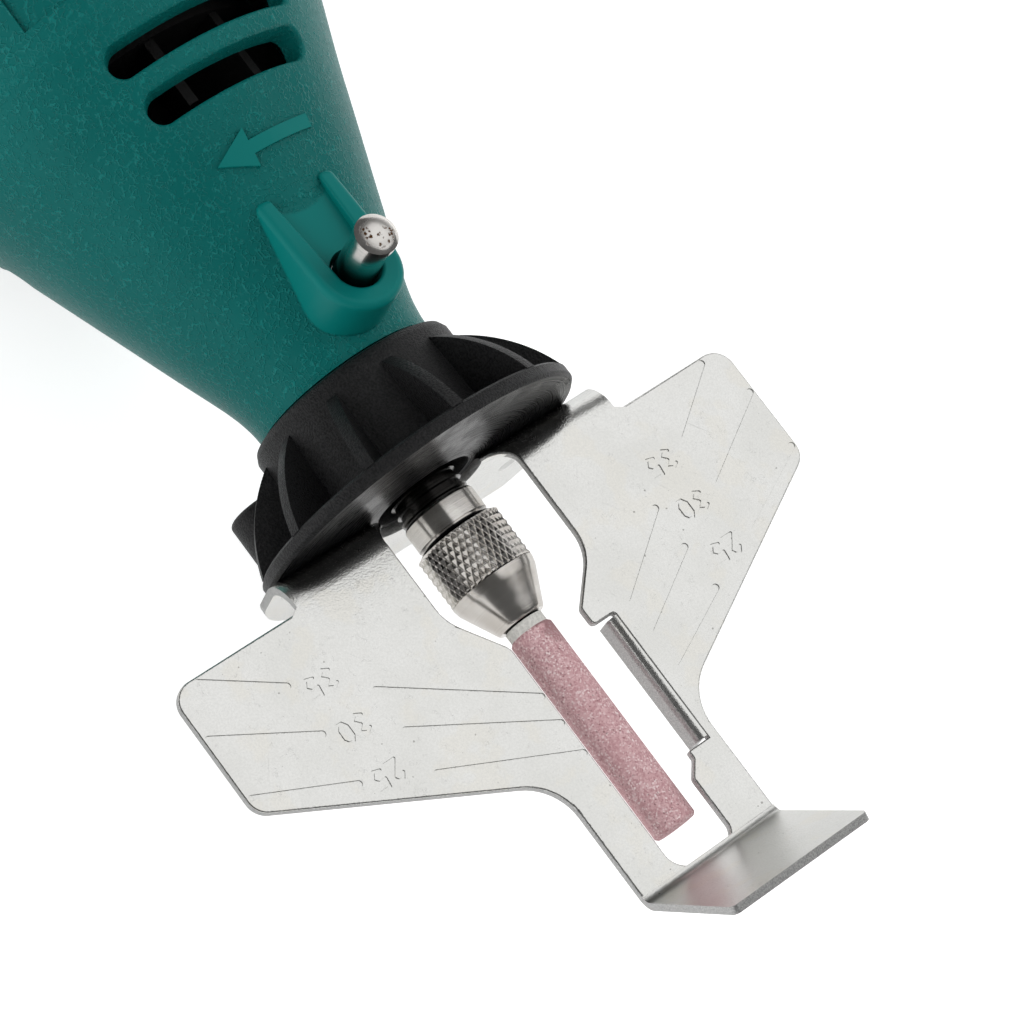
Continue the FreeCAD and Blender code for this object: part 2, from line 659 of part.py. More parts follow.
def chuck_nut():
    back, knurl_end, tip = NUT_X
    bore_r = CHUCK_STUD_R + RUN_GAP
    throat_r = COLLET_R + RUN_GAP
    slope = (NUT_R - NUT_TIP_R) / (tip - knurl_end)
    return turned([
        (back, bore_r), (back, NUT_R - 0.5), (back + 0.5, NUT_R), (knurl_end - NUT_EASE, NUT_R),
        (knurl_end + NUT_EASE, NUT_R - NUT_EASE * slope), (tip, NUT_TIP_R), (tip, throat_r),
        (knurl_end - 0.5, throat_r), (knurl_end - 0.5, bore_r)])


def collet():
    """Split steel sleeve that grips the stone's shank."""
    sleeve = tube(8.0, 18.85, COLLET_R, SHANK_R)
    for angle in (0, 90):
        slit = block(11.0, 20.0, -0.15, 0.15, -3, 3)
        sleeve = sleeve.cut(round_spindle(slit, angle))
    return sleeve


def stone_shank():
    return rod(8.5, STONE_X[1] - 7.0, SHANK_R)


def stone_collar():
    return tube(18.95, STONE_X[0], STONE_COLLAR_R, SHANK_R)


def grinding_stone():
    edge = 0.3
    body = turned([
        (STONE_X[0], 0), (STONE_X[0], STONE_R - edge), (STONE_X[0] + edge, STONE_R),
        (STONE_X[1] - edge, STONE_R), (STONE_X[1], STONE_R - edge), (STONE_X[1], 0)])
    return body.cut(rod(STONE_X[0] - 1, STONE_X[1] - 7.0, SHANK_R))


def holder_rib():
    """One rib, upright at the top: a convex back from the collar to the flange."""
    low = V(COLLAR_X[1] - 1.0, 0, COLLAR_R - 2.0)
    start = V(COLLAR_X[1] - 0.2, 0, COLLAR_R - 0.2)
    crown = V(-7.65, 0, 18.0)
    end = V(-FLANGE_T + 0.1, 0, FLANGE_R - 0.1)
    foot = V(-FLANGE_T + 0.1, 0, COLLAR_R - 2.0)
    edges = [Part.makeLine(low, start), Part.Arc(start, crown, end).toShape()]
    edges += [Part.makeLine(end, foot), Part.makeLine(foot, low)]
    rib = Part.Face(Part.Wire(edges)).extrude(V(0, RIB_T, 0))
    rib.translate(V(0, -RIB_T / 2, 0))
    return rib


def guide_holder():
    """Threaded holder: collar, ribbed cone, flange and two screw bosses."""
    body = turned([
        (COLLAR_X[0], 0), (COLLAR_X[0], COLLAR_R - 1.1), (COLLAR_X[0] + 0.3, COLLAR_R - 0.4),
        (COLLAR_X[0] + 1.1, COLLAR_R), (COLLAR_X[1], COLLAR_R), (-FLANGE_T - 2.4, WEB_R),
        (-FLANGE_T - 0.7, WEB_R + 0.6), (-FLANGE_T, WEB_R + 2.0), (-FLANGE_T, FLANGE_R - 0.3),
        (-FLANGE_T + 0.3, FLANGE_R),
        (-0.4, FLANGE_R), (0, FLANGE_R - 0.4), (0, 0)])
    body = body.fuse([round_spindle(holder_rib(), 360 * i / RIBS) for i in range(RIBS)])
    for side in (-1, 1):
        boss = Part.makeCylinder(SCREW_BOSS_R, 9.0, V(SCREW_BOSS_X, side * SCREW_Y, SCREW_Z), AXIS)
        rim = [edge for edge in boss.Edges if edge.CenterOfMass.x < SCREW_BOSS_X + 0.1]
        body = body.fuse(boss.makeFillet(0.7, rim))
    body = body.cut(rod(COLLAR_X[0] - 1, -HOLDER_FRONT_T, HOLDER_BORE_R)).cut(rod(-5, 1, HOLE_R))
    for side in (-1, 1):
        back = V(SCREW_BOSS_X - 1, side * SCREW_Y, SCREW_Z)
        body = body.cut(Part.makeCylinder(SCREW_R + 0.1, 14, back, AXIS))
        body = body.cut(Part.makeCylinder(SCREW_HEAD_R + 0.2, SCREW_SEAT_X - back.x, back, AXIS))
    return body.removeSplitter()


def plate_sheet():
    """Flat of the guide plate: two wings and two arms, before the window."""
    return Part.Face(rounded_outline([
        (PLATE_BEND, BASE_LEFT, 0), (WING_BACK_X, BASE_LEFT - 0.8, 0), (WING_BACK_X, -WING_HALF, WING_R),
        (WING_FRONT_X, -WING_HALF, WING_R), (ARM_X, -ARM_HALF, ARM_FILLET), (FOOT_X, -ARM_HALF, 0),
        (FOOT_X, ARM_HALF, 0), (ARM_X, ARM_HALF, ARM_FILLET), (WING_FRONT_X, WING_HALF, WING_R),
        (WING_BACK_X, WING_HALF, WING_R), (WING_BACK_X, BASE_RIGHT + 0.8, 0), (PLATE_BEND, BASE_RIGHT, 0)],
        PLATE_TOP - PLATE_T)).extrude(V(0, 0, PLATE_T))


def plate_window():
    """Opening round the chuck and the stone, which ends in the bend."""
    outline = rounded_outline([
        (WINDOW_BACK_X, WINDOW_LEFT, WINDOW_R), (14.5, WINDOW_LEFT, 6.0), (21.0, SLOT_LEFT, 2.0),
        (FOOT_X + 0.4, SLOT_LEFT, SLOT_END_R[0]), (FOOT_X + 0.4, SLOT_RIGHT, SLOT_END_R[1]),
        (44.4, SLOT_RIGHT, 0.8), (42.6, HOOK_Y, 0.6), (TAB_X[1], HOOK_Y, 0.3), (TAB_X[1], TAB_Y, 0),
        (TAB_X[0], TAB_Y, 0.4), (TAB_X[0], HOOK_Y, 0.6), (21.6, HOOK_Y, 0.8),
        (16.2, WINDOW_RIGHT, 6.0), (WINDOW_BACK_X, WINDOW_RIGHT, WINDOW_R)], -4.0)
    return Part.Face(outline).extrude(V(0, 0, 12))


def plate_base():
    """Upright strip on the flange, with the bend that joins it to the flat."""
    centre_z = PLATE_TOP - PLATE_BEND
    strip = block(0, PLATE_T, BASE_LEFT, BASE_RIGHT, BASE_LOW, centre_z)
    middle = V(-1, (BASE_LEFT + BASE_RIGHT) / 2, 0)
    strip = strip.common(Part.makeCylinder(BASE_R, 4, middle, AXIS))
    for side in (-1, 1):
        strip = strip.cut(Part.makeCylinder(SCREW_R - 0.1, 4, V(-1, side * SCREW_Y, SCREW_Z), AXIS))
    width = BASE_RIGHT - BASE_LEFT
    centre = V(PLATE_BEND, BASE_LEFT, centre_z)
    outer = Part.makeCylinder(PLATE_BEND, width, centre, V(0, 1, 0))
    inner = Part.makeCylinder(PLATE_BEND - PLATE_T, width, centre, V(0, 1, 0))
    bend = outer.cut(inner).common(block(0, PLATE_BEND, BASE_LEFT, BASE_RIGHT, centre_z, PLATE_TOP))
    return strip.fuse(bend).cut(rod(-1, WINDOW_BACK_X + 0.5, HOLE_R + 1.2))


def plate_foot():
    """End of the arms, bent up and away from the stone."""
    outer_r = FOOT_BEND + PLATE_T
    centre = V(FOOT_X, 0, PLATE_TOP + FOOT_BEND)
    low = PLATE_TOP - PLATE_T
    corners = [V(FOOT_X, y, z) for y, z in (
        (-ARM_HALF, PLATE_TOP), (-ARM_HALF, low), (ARM_HALF, low), (ARM_HALF, PLATE_TOP))]
    section = Part.Face(Part.makePolygon(corners + corners[:1]))
    bend = section.revolve(centre, V(0, 1, 0), -FOOT_ANGLE)
    flat = Part.Face(rounded_outline([
        (FOOT_X, -ARM_HALF, 0), (FOOT_X + FOOT_LENGTH, -ARM_HALF, 0.8), (FOOT_X + FOOT_LENGTH, ARM_HALF, 0.8),
        (FOOT_X, ARM_HALF, 0)], centre.z - outer_r)).extrude(V(0, 0, PLATE_T))
    flat.rotate(centre, V(0, 1, 0), -FOOT_ANGLE)
    return bend.fuse(flat)


def plate_tab():
    """Stiffening lip turned down along the right arm's inner edge."""
    outer_r = TAB_BEND + PLATE_T
    start_x = TAB_X[0] + 0.4
    end_x = TAB_X[1] - 0.3
    low = PLATE_TOP - PLATE_T
    corners = [V(x, TAB_Y, z) for x, z in (
        (start_x, PLATE_TOP), (end_x, PLATE_TOP), (end_x, low), (start_x, low))]
    section = Part.Face(Part.makePolygon(corners + corners[:1]))
    bend_z = PLATE_TOP - outer_r
    bend = section.revolve(V(0, TAB_Y, bend_z), AXIS, 90)
    lip = block(start_x, end_x, TAB_Y - outer_r, TAB_Y - TAB_BEND, bend_z - TAB_DROP, bend_z)
    return bend.fuse(lip)


def groove(x0, y0, x1, y1, width):
    """Round-ended cutter along a stamped line on the plate's top."""
    start = V(x0, y0, PLATE_TOP - MARK_DEPTH)
    run = V(x1 - x0, y1 - y0, 0)
    side = V(-run.y, run.x, 0).normalize() * (width / 2)
    corners = [start - side, start + run - side, start + run + side, start + side, start - side]
    cutter = Part.Face(Part.makePolygon(corners)).extrude(V(0, 0, 1))
    for end in (start, start + run):
        cutter = cutter.fuse(Part.makeCylinder(width / 2, 1, end))
    return cutter


# Strokes of the stamped digits on a grid that is 1 wide and 2 high
DIGITS = {
    "0": ((0.3, 0, 0.7, 0), (0.7, 0, 1, 0.5), (1, 0.5, 1, 1.5), (1, 1.5, 0.7, 2), (0.7, 2, 0.3, 2),
          (0.3, 2, 0, 1.5), (0, 1.5, 0, 0.5), (0, 0.5, 0.3, 0)),
    "2": ((0, 1.5, 0.3, 2), (0.3, 2, 0.7, 2), (0.7, 2, 1, 1.5), (1, 1.5, 0, 0), (0, 0, 1, 0)),
    "3": ((0, 1.7, 0.4, 2), (0.4, 2, 1, 1.6), (1, 1.6, 0.5, 1.05), (0.5, 1.05, 1, 0.5), (1, 0.5, 0.5, 0),
          (0.5, 0, 0, 0.3)),
    "5": ((1, 2, 0.1, 2), (0.1, 2, 0, 1.1), (0, 1.1, 0.6, 1.2), (0.6, 1.2, 1, 0.7), (1, 0.7, 0.6, 0),
          (0.6, 0, 0, 0.2)),
}


def stamped_number(text, x, y):
    """Cutters for a two-digit number whose tops point to +X and which reads towards -Y."""
    cutters = []
    for place, digit in enumerate(text):
        left = y + DIGIT_PITCH * (0.5 - place) + DIGIT_WIDTH / 2
        for x0, y0, x1, y1 in DIGITS[digit]:
            low_x = x + (y0 / 2 - 0.5) * DIGIT_HEIGHT
            high_x = x + (y1 / 2 - 0.5) * DIGIT_HEIGHT
            start_y = left - x0 * DIGIT_WIDTH
            end_y = left - x1 * DIGIT_WIDTH
            cutters.append(groove(low_x, start_y, high_x, end_y, DIGIT_STROKE))
    return cutters


def stamped_marks():
    """Angle lines on both wings, broken by their numbers."""
    cutters = []
    for angle, root_x, reach in MARKS:
        slope = tan(radians(angle))
        for side in (-1, 1):
            for y0, y1 in ((MARK_START[side], MARK_GAP[0]), (MARK_GAP[1], reach)):
                x0 = root_x - slope * (y0 - MARK_ROOT)
                x1 = root_x - slope * (y1 - MARK_ROOT)
                cutters.append(groove(x0, side * y0, x1, side * y1, MARK_WIDTH))
            place = DIGIT_PLACE[side]
            number_x = root_x - slope * (place - MARK_ROOT) + DIGIT_SHIFT[side]
            cutters += stamped_number(str(angle), number_x, side * place)
    return cutters


def is_rolled(edge):
    """True for the edges of the plate's top that the press rounded, all but those where it is bent."""
    middle = edge.CenterOfMass
    on_top = all(abs(vertex.Point.z - PLATE_TOP) < 1e-6 for vertex in edge.Vertexes)
    at_tab = TAB_X[0] < middle.x < TAB_X[1] and abs(middle.y - TAB_Y) < 1e-6
    return on_top and WING_BACK_X - 0.1 < middle.x < FOOT_X - 0.1 and not at_tab


def guide_plate():
    plate = plate_sheet().fuse(plate_base()).cut(plate_window()).removeSplitter()
    plate = plate.makeFillet(PLATE_EDGE, [edge for edge in plate.Edges if is_rolled(edge)])
    plate = plate.fuse([plate_foot(), plate_tab()]).removeSplitter()
    return plate.cut(stamped_marks())


def guide_screws():
    """Two pan-head screws sunk in the bosses from behind, which end flush in the tapped strip."""
    solids = []
    head_x = SCREW_SEAT_X - SCREW_HEAD_T
    for side in (-1, 1):
        place = V(SCREW_SEAT_X, side * SCREW_Y, SCREW_Z)
        shank = Part.makeCylinder(SCREW_R - 0.1, PLATE_T - SCREW_SEAT_X, place, AXIS)
        head = Part.makeCylinder(SCREW_HEAD_R, SCREW_HEAD_T, V(head_x, place.y, place.z), AXIS)
        rim = [edge for edge in head.Edges if edge.CenterOfMass.x < head_x + 0.1]
        head = head.makeFillet(0.6, rim)
        cross = block(head_x - 1, head_x + 0.9, -0.4, 0.4, -1.4, 1.4)
        cross = cross.fuse(block(head_x - 1, head_x + 0.9, -1.4, 1.4, -0.4, 0.4))
        cross.translate(V(0, place.y, place.z))
        solids.append(shank.fuse(head).cut(cross))
    return Part.makeCompound(solids)


def switch_slider():
    """Ribbed thumb button, with a skirt that keeps its slot covered from below."""
    middle = (SLIDER_X[0] + SLIDER_X[1]) / 2
    button = block(SLIDER_X[0], SLIDER_X[1], -SLIDER_HALF, SLIDER_HALF, 21.0, SLIDER_TOP)
    for i in range(-2, 3):
        ridge_gap = block(middle + 2 * i - 0.4, middle + 2 * i + 0.4, -10, 10, SLIDER_TOP - 0.7, 40)
        button = button.cut(ridge_gap)
    skirt_half = SLIDER_HALF + 0.8
    skirt_back = SLIDER_X[0] - SLIDER_TRAVEL - SLIDER_GAP
    skirt = block(skirt_back, SLIDER_X[1] + 1.5, -skirt_half, skirt_half, 20.2, 21.2)
    stem = block(middle - 2, middle + 2, -2, 2, 17.4, 20.4)
    return button.fuse([skirt, stem]).removeSplitter()


def switch_module():
    return block(SLIDER_X[0] - 3.5, SLIDER_X[1] + 3.5, -6, 6, 5.0, 17.0)


def speed_dial():
    """Notched thumb wheel on a cross pin, showing a little above the cover."""
    wheel = cross_rod(DIAL_R, DIAL_HALF)
    notch_at = DIAL_R + 0.3
    for i in range(DIAL_NOTCHES):
        angle = 2 * pi * i / DIAL_NOTCHES
        notch = cross_rod(0.7, 10)
        notch.translate(V(notch_at * cos(angle), 0, notch_at * sin(angle)))
        wheel = wheel.cut(notch)
    return wheel.cut(cross_rod(DIAL_PIN_R + PIVOT_GAP, 10))


def speed_control():
    """Control block beside the dial, with the pin that carries it."""
    body = block(DIAL_X - 4, DIAL_X + 7, DIAL_HALF + 0.6, DIAL_HALF + 5.0, 6.0, 18.5)
    return body.fuse(cross_rod(DIAL_PIN_R, DIAL_HALF + 1.0))


def write(name, shape, turn=0.0):
    """Turn a piece with the guide if asked, move it to the row frame and write it."""
    placed = round_spindle(shape, turn)
    placed.translate(V(-REST_X, 0, AXIS_HEIGHT))
    solids = placed.Solids
    if not placed.isValid():
        print("invalid:", name)
    print(f"{name}: {len(solids)} solid(s), {sum(s.Volume for s in solids):.1f} mm3")
    if len(solids) == 1:
        placed = solids[0]
    placed.exportStep(f"parts/{name}.step")


def main():
    os.makedirs("parts", exist_ok=True)
    write("front_housing", front_housing())
    write("rear_cover", rear_cover())
    write("cover_screws", cover_screws())
    write("cord_bush", cord_bush())
    for place, span in (("front", FRONT_BEARING), ("rear", REAR_BEARING)):
        outer, inner, balls = bearing(span)
        write(f"{place}_bearing_outer", outer)
        write(f"{place}_bearing_inner", inner)
        write(f"{place}_bearing_balls", balls)
    write("rear_bearing_boot", tube(JOINT_X - 1.2, REAR_BEARING[1], 11.0, REAR_BEARING[3]))
    write("baffle_ring", baffle_ring())
    write("stator_core", stator_core())
    write("field_coils", field_coils())
    brush_set = (("brush_holder", brush_holder()), ("brush", brush()), ("brush_spring", brush_spring()),
                 ("brush_cap", brush_cap()))
    for name, shape in brush_set:
        write(f"{name}_right", shape)
        write(f"{name}_left", mirrored(shape))
    write("spindle", spindle())
    write("lock_collar", lock_collar())
    write("fan", fan())
    write("armature_core", armature_core())
    write("armature_windings", armature_windings())
    write("commutator", commutator())
    write("chuck_body", chuck_body())
    write("collet", collet())
    write("stone_shank", stone_shank())
    write("stone_collar", stone_collar())
    write("grinding_stone", grinding_stone())
    write("chuck_nut", chuck_nut())
    write("lock_pin", lock_pin())
    write("lock_spring", lock_spring())
    write("guide_holder", guide_holder(), -GUIDE_TURN)
    write("guide_plate", guide_plate(), -GUIDE_TURN)
    write("guide_screws", guide_screws(), -GUIDE_TURN)
    write("switch_slider", switch_slider())
    write("switch_module", switch_module())
    write("speed_dial", speed_dial())
    write("speed_control", speed_control())


main()
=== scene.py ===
"""Looks of a handheld grinder with a saw-chain sharpening guide.

Lengths are in metres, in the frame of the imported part: +X along the spindle towards the stone, +Z up.
"""
import json
from math import cos, pi, radians, sin, tan, tau

import bmesh
import bpy
from mathutils import Matrix, Vector
from mathutils.bvhtree import BVHTree


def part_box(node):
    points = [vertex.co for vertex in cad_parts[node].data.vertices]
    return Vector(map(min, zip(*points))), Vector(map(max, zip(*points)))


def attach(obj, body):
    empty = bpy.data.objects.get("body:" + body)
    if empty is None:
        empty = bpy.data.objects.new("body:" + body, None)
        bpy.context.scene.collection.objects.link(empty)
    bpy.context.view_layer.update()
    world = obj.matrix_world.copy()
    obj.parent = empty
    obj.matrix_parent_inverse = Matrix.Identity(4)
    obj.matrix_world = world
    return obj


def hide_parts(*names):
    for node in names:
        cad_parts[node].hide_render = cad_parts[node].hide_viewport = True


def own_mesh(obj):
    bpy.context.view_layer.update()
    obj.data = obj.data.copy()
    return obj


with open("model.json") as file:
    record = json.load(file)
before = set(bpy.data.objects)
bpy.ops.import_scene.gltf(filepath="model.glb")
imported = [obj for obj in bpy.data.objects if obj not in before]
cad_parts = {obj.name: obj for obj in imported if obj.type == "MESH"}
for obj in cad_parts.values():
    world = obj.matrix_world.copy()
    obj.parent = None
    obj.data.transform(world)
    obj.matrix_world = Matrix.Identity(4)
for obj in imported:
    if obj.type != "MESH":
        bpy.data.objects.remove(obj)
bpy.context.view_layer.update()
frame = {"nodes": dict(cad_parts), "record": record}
nodes = frame["nodes"]

MM = 0.001
STONE_LOW, STONE_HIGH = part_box("grinding_stone")
AXIS_Z = (STONE_LOW.z + STONE_HIGH.z) / 2
FLANGE_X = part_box("guide_holder")[1].x

# Sizes that the finishes follow, in millimetres: lengths from the flange face, radii from the spindle's axis
CONE_FRONT = 24.2
CONE_FRONT_R = 13.9
CONE_SLOPE = 0.36          # gain in radius for each millimetre further back
NOSE_R = 11.9
ARROW_BACK = 43.0
BARREL_BACK = 60.0
PIN_TOP = (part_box("lock_pin")[1].z - AXIS_Z) / MM
NUT_BACK = (FLANGE_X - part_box("chuck_nut")[0].x) / MM
STAIN_BACK = 20.0
STAIN_FRONT = 25.0
FOOT = 51.8

SHEET = 1.0 * MM           # thickness of the guide plate

# Rounded edges, and the test for a cut edge of the sheet
WELD_GAP = 0.002 * MM
FLAT_ANGLE = 0.3
EDGE_ANGLE = 35.0
EDGE_STEPS = 3
PLATE_ROUND = 0.12 * MM
HOLDER_ROUND = 0.16 * MM
CUT_DEPTH = 1.6            # sheet thicknesses behind a face, above which it is a cut edge
# Faces whose normal looks sideways this much, the plate's lip among them, are painted darker as shade.
SIDEWAYS = 0.8             # Y part of a normal, above which a face looks sideways
RAY_START = 0.01 * MM

# Chuck nut: lengths from its back
KNURL_START = 0.45 * MM
KNURL_END = 7.0 * MM
NUT_CONE_BACK = 7.95 * MM
NUT_CONE_STEP = 0.22 * MM  # how far the cone starts below the knurl
NUT_CONE_ROWS = 12
NUT_TIP_R = 3.05 * MM
NUT_BORE_R = 4.2 * MM
NUT_THROAT_R = 2.3 * MM
NUT_SHARP_ANGLE = 32
KNURLS = 40                # grooves of each hand round the nut
KNURL_SIDES = 12           # mesh points across one groove
KNURL_ROWS = 76
KNURL_DEPTH = 0.34 * MM
KNURL_FADE = 0.25 * MM     # length over which the grooves run out
KNURL_SKIN = 0.6 * MM      # corners further in than this stay uncut
KNURL_SLANT = 26.0         # degrees between a groove and the spindle

# Camera and studio
CAMERA_PLACE = Vector((0.17797, -0.21546, 0.39020))
CAMERA_RIGHT = Vector((0.59348, 0.73370, 0.33083))
CAMERA_UP = Vector((-0.78724, 0.44369, 0.42824))
CAMERA_LENS = 134.2
CAMERA_NEAR = 0.01
PLATE_MIDDLE = Vector((FLANGE_X + 25 * MM, 0.0, AXIS_Z + 3 * MM))
FLOOR_REACH = 4.0
BOX_WIDTH = 1.2
BOX_HEIGHT = 0.8
SOFTBOXES = (              # place from the middle of the plate, and radiance
    ("left_box", Vector((-0.15, -0.95, 0.32)), 2.1),
    ("right_box", Vector((0.05, 0.9, 0.5)), 2.5),
)
DOME_OPENS = Vector((-0.02, 0.40, 0.90))
DOME_TONE = 0.18
DOME_R = 2.0
DOME_FOOT = 12.0           # degrees of bright horizon left under the dome
DOME_OPENING = 40.0        # half angle of the opening above

GROUPS = {}


def add(tree, kind, inputs=None, **settings):
    """New shader node; inputs maps a socket's name or number to a value or to a socket to link."""
    node = tree.nodes.new("ShaderNode" + kind)
    for name, value in settings.items():
        setattr(node, name, value)
    for key, value in (inputs or {}).items():
        if isinstance(value, bpy.types.NodeSocket):
            tree.links.new(value, node.inputs[key])
        else:
            node.inputs[key].default_value = value
    return node


def calc(tree, operation, first, second=0.0, third=0.0):
    """Math node's result."""
    return add(tree, "Math", {0: first, 1: second, 2: third}, operation=operation).outputs[0]


def ramp(tree, value, low, high, low_to=0.0, high_to=1.0):
    """Value mapped smoothly from low..high to low_to..high_to and held at the ends."""
    inputs = {"Value": value, "From Min": low, "From Max": high, "To Min": low_to, "To Max": high_to}
    return add(tree, "MapRange", inputs, interpolation_type="SMOOTHSTEP").outputs["Result"]


def blend_colours(tree, share, first, second):
    """First colour where share is 0, second where it is 1."""
    return add(tree, "Mix", {0: share, 6: first, 7: second}, data_type="RGBA").outputs[2]


def blend_values(tree, share, first, second):
    """First value where share is 0, second where it is 1."""
    return add(tree, "Mix", {0: share, 2: first, 3: second}, data_type="FLOAT").outputs[0]


def noise(tree, place, scale=1.0, detail=1.0, roughness=0.5):
    """Noise texture's value."""
    inputs = {"Vector": place, "Scale": scale, "Detail": detail, "Roughness": roughness}
    return add(tree, "TexNoise", inputs).outputs[0]


def rgb(red, green, blue):
    return (red, green, blue, 1.0)


def place_in_part(tree):
    """Position in the part's own frame, in metres."""
    return add(tree, "TexCoord").outputs["Object"]


def scaled_place(tree, size):
    """Position divided by a size, for a texture of that grain."""
    share = calc(tree, "DIVIDE", 1.0, size)
    return add(tree, "VectorMath", {0: place_in_part(tree), "Scale": share}, operation="SCALE").outputs[0]


def start_group(name, inputs, outputs):
    """Empty shader group with number inputs and number outputs; gives its tree and both ends."""
    tree = bpy.data.node_groups.new(name, "ShaderNodeTree")
    for label, value in inputs.items():
        socket = tree.interface.new_socket(label, in_out="INPUT", socket_type="NodeSocketFloat")
        socket.default_value = value
    for label in outputs:
        tree.interface.new_socket(label, in_out="OUTPUT", socket_type="NodeSocketFloat")
    start = tree.nodes.new("NodeGroupInput")
    end = tree.nodes.new("NodeGroupOutput")
    return tree, start.outputs, end.inputs


def effect(tree, name, **inputs):
    """Shader group placed with its own values; gives its outputs."""
    node = tree.nodes.new("ShaderNodeGroup")
    node.node_tree = GROUPS[name]
    for label, value in inputs.items():
        node.inputs[label].default_value = value
    return node.outputs


def spindle_place_group():
    """Distance behind the flange face, and from the spindle axis, both in millimetres."""
    tree, _, end = start_group("spindle place", {}, ("Behind", "Radius"))
    parts = add(tree, "SeparateXYZ", {0: place_in_part(tree)}).outputs
    behind = calc(tree, "MULTIPLY", calc(tree, "SUBTRACT", FLANGE_X, parts["X"]), 1 / MM)
    height = calc(tree, "SUBTRACT", parts["Z"], AXIS_Z)
    squares = calc(tree, "MULTIPLY_ADD", height, height, calc(tree, "MULTIPLY", parts["Y"], parts["Y"]))
    radius = calc(tree, "MULTIPLY", calc(tree, "SQRT", squares), 1 / MM)
    tree.links.new(behind, end["Behind"])
    tree.links.new(radius, end["Radius"])
    return tree


def pebble_grain_group():
    """Moulded leather grain: flat pebbles parted by narrow wandering grooves, some of which fade out."""
    tree, start, end = start_group("pebble grain", {"Size": MM}, ("Height",))
    place = scaled_place(tree, start["Size"])
    push = add(tree, "TexNoise", {"Vector": place, "Scale": 0.9, "Detail": 1.0}).outputs["Color"]
    wander = {0: push, 1: (0.9, 0.9, 0.9), 2: place}
    bent = add(tree, "VectorMath", wander, operation="MULTIPLY_ADD").outputs[0]
    cells = add(tree, "TexVoronoi", {"Vector": bent, "Scale": 1.0}, feature="DISTANCE_TO_EDGE")
    groove = ramp(tree, cells.outputs["Distance"], 0.02, 0.14, 1.0, 0.0)
    deep = calc(tree, "MULTIPLY", groove, ramp(tree, noise(tree, place, 0.7), 0.38, 0.55))
    tree.links.new(calc(tree, "SUBTRACT", 1.0, deep), end["Height"])
    return tree


def sand_group():
    """Spark-eroded sand texture."""
    tree, start, end = start_group("sand", {"Size": 0.3 * MM}, ("Height",))
    grains = noise(tree, scaled_place(tree, start["Size"]), detail=2.0, roughness=0.6)
    tree.links.new(ramp(tree, grains, 0.32, 0.68), end["Height"])
    return tree


def specks_group():
    """Small scattered spots; Share is how many of the cells hold one."""
    tree, start, end = start_group("specks", {"Size": MM, "Share": 0.3, "Spot": 0.2}, ("Mask",))
    place = scaled_place(tree, start["Size"])
    wobble = noise(tree, place, 5.0, 2.0)
    cells = add(tree, "TexVoronoi", {"Vector": place, "Scale": 1.0})
    chance = add(tree, "SeparateColor", {0: cells.outputs["Color"]}).outputs[0]
    chosen = calc(tree, "LESS_THAN", chance, start["Share"])
    reach = calc(tree, "MULTIPLY", calc(tree, "MULTIPLY", start["Spot"], wobble), 2.0)
    inside = calc(tree, "SUBTRACT", reach, cells.outputs["Distance"])
    tree.links.new(calc(tree, "MULTIPLY", ramp(tree, inside, 0.0, 0.05), chosen), end["Mask"])
    return tree


def scratches_group():
    """Fine straight scratches in two directions, broken up by a slow noise."""
    tree, start, end = start_group("scratches", {"Size": MM, "Turn": 0.6}, ("Mask",))
    place = scaled_place(tree, start["Size"])
    masks = []
    for sign in (1, -1):
        spin = add(tree, "CombineXYZ", {"Z": calc(tree, "MULTIPLY", start["Turn"], sign)}).outputs[0]
        turn = {"Vector": place, "Rotation": spin}
        turned = add(tree, "VectorRotate", turn, rotation_type="EULER_XYZ").outputs[0]
        drawn = add(tree, "Mapping", {"Vector": turned, "Scale": (0.05, 2.4, 1.0)}).outputs[0]
        masks.append(ramp(tree, noise(tree, drawn, detail=3.0, roughness=0.7), 0.66, 0.76))
    both = calc(tree, "MAXIMUM", masks[0], masks[1])
    patches = ramp(tree, noise(tree, place, 0.16), 0.45, 0.65)
    tree.links.new(calc(tree, "MULTIPLY", both, patches), end["Mask"])
    return tree


def hairs_group():
    """Short hair-fine curls: thin level lines of a noise, kept only in places."""
    tree, start, end = start_group("hairs", {"Size": 2 * MM}, ("Mask",))
    place = scaled_place(tree, start["Size"])
    levels = noise(tree, place, detail=3.0, roughness=0.6)
    away = calc(tree, "ABSOLUTE", calc(tree, "SUBTRACT", levels, 0.5))
    line = ramp(tree, away, 0.004, 0.012, 1.0, 0.0)
    patches = ramp(tree, noise(tree, place, 0.9, 2.0), 0.55, 0.62)
    tree.links.new(calc(tree, "MULTIPLY", line, patches), end["Mask"])
    return tree


def turned_lines_group():
    """Fine rings left by turning, along the spindle or, where Across is 1, out from its axis."""
    tree, start, end = start_group("turned lines", {"Pitch": 0.1, "Across": 0.0}, ("Height",))
    place = effect(tree, "spindle place")
    along = blend_values(tree, start["Across"], place["Behind"], place["Radius"])
    steps = {"W": calc(tree, "DIVIDE", along, start["Pitch"]), "Scale": 1.0, "Detail": 2.0}
    rings = add(tree, "TexNoise", steps, noise_dimensions="1D").outputs[0]
    broken = ramp(tree, noise(tree, scaled_place(tree, 3 * MM)), 0.35, 0.6, 0.35, 1.0)
    tree.links.new(calc(tree, "MULTIPLY", ramp(tree, rings, 0.3, 0.7), broken), end["Height"])
    return tree


def clouds_group():
    """Slow uneven patches for colour and gloss."""
    tree, start, end = start_group("clouds", {"Size": 8 * MM}, ("Value",))
    patches = noise(tree, scaled_place(tree, start["Size"]), detail=4.0)
    tree.links.new(ramp(tree, patches, 0.3, 0.7), end["Value"])
    return tree


for make_group in (spindle_place_group, pebble_grain_group, sand_group, specks_group, scratches_group,
                   hairs_group, turned_lines_group, clouds_group):
    made_group = make_group()
    GROUPS[made_group.name] = made_group


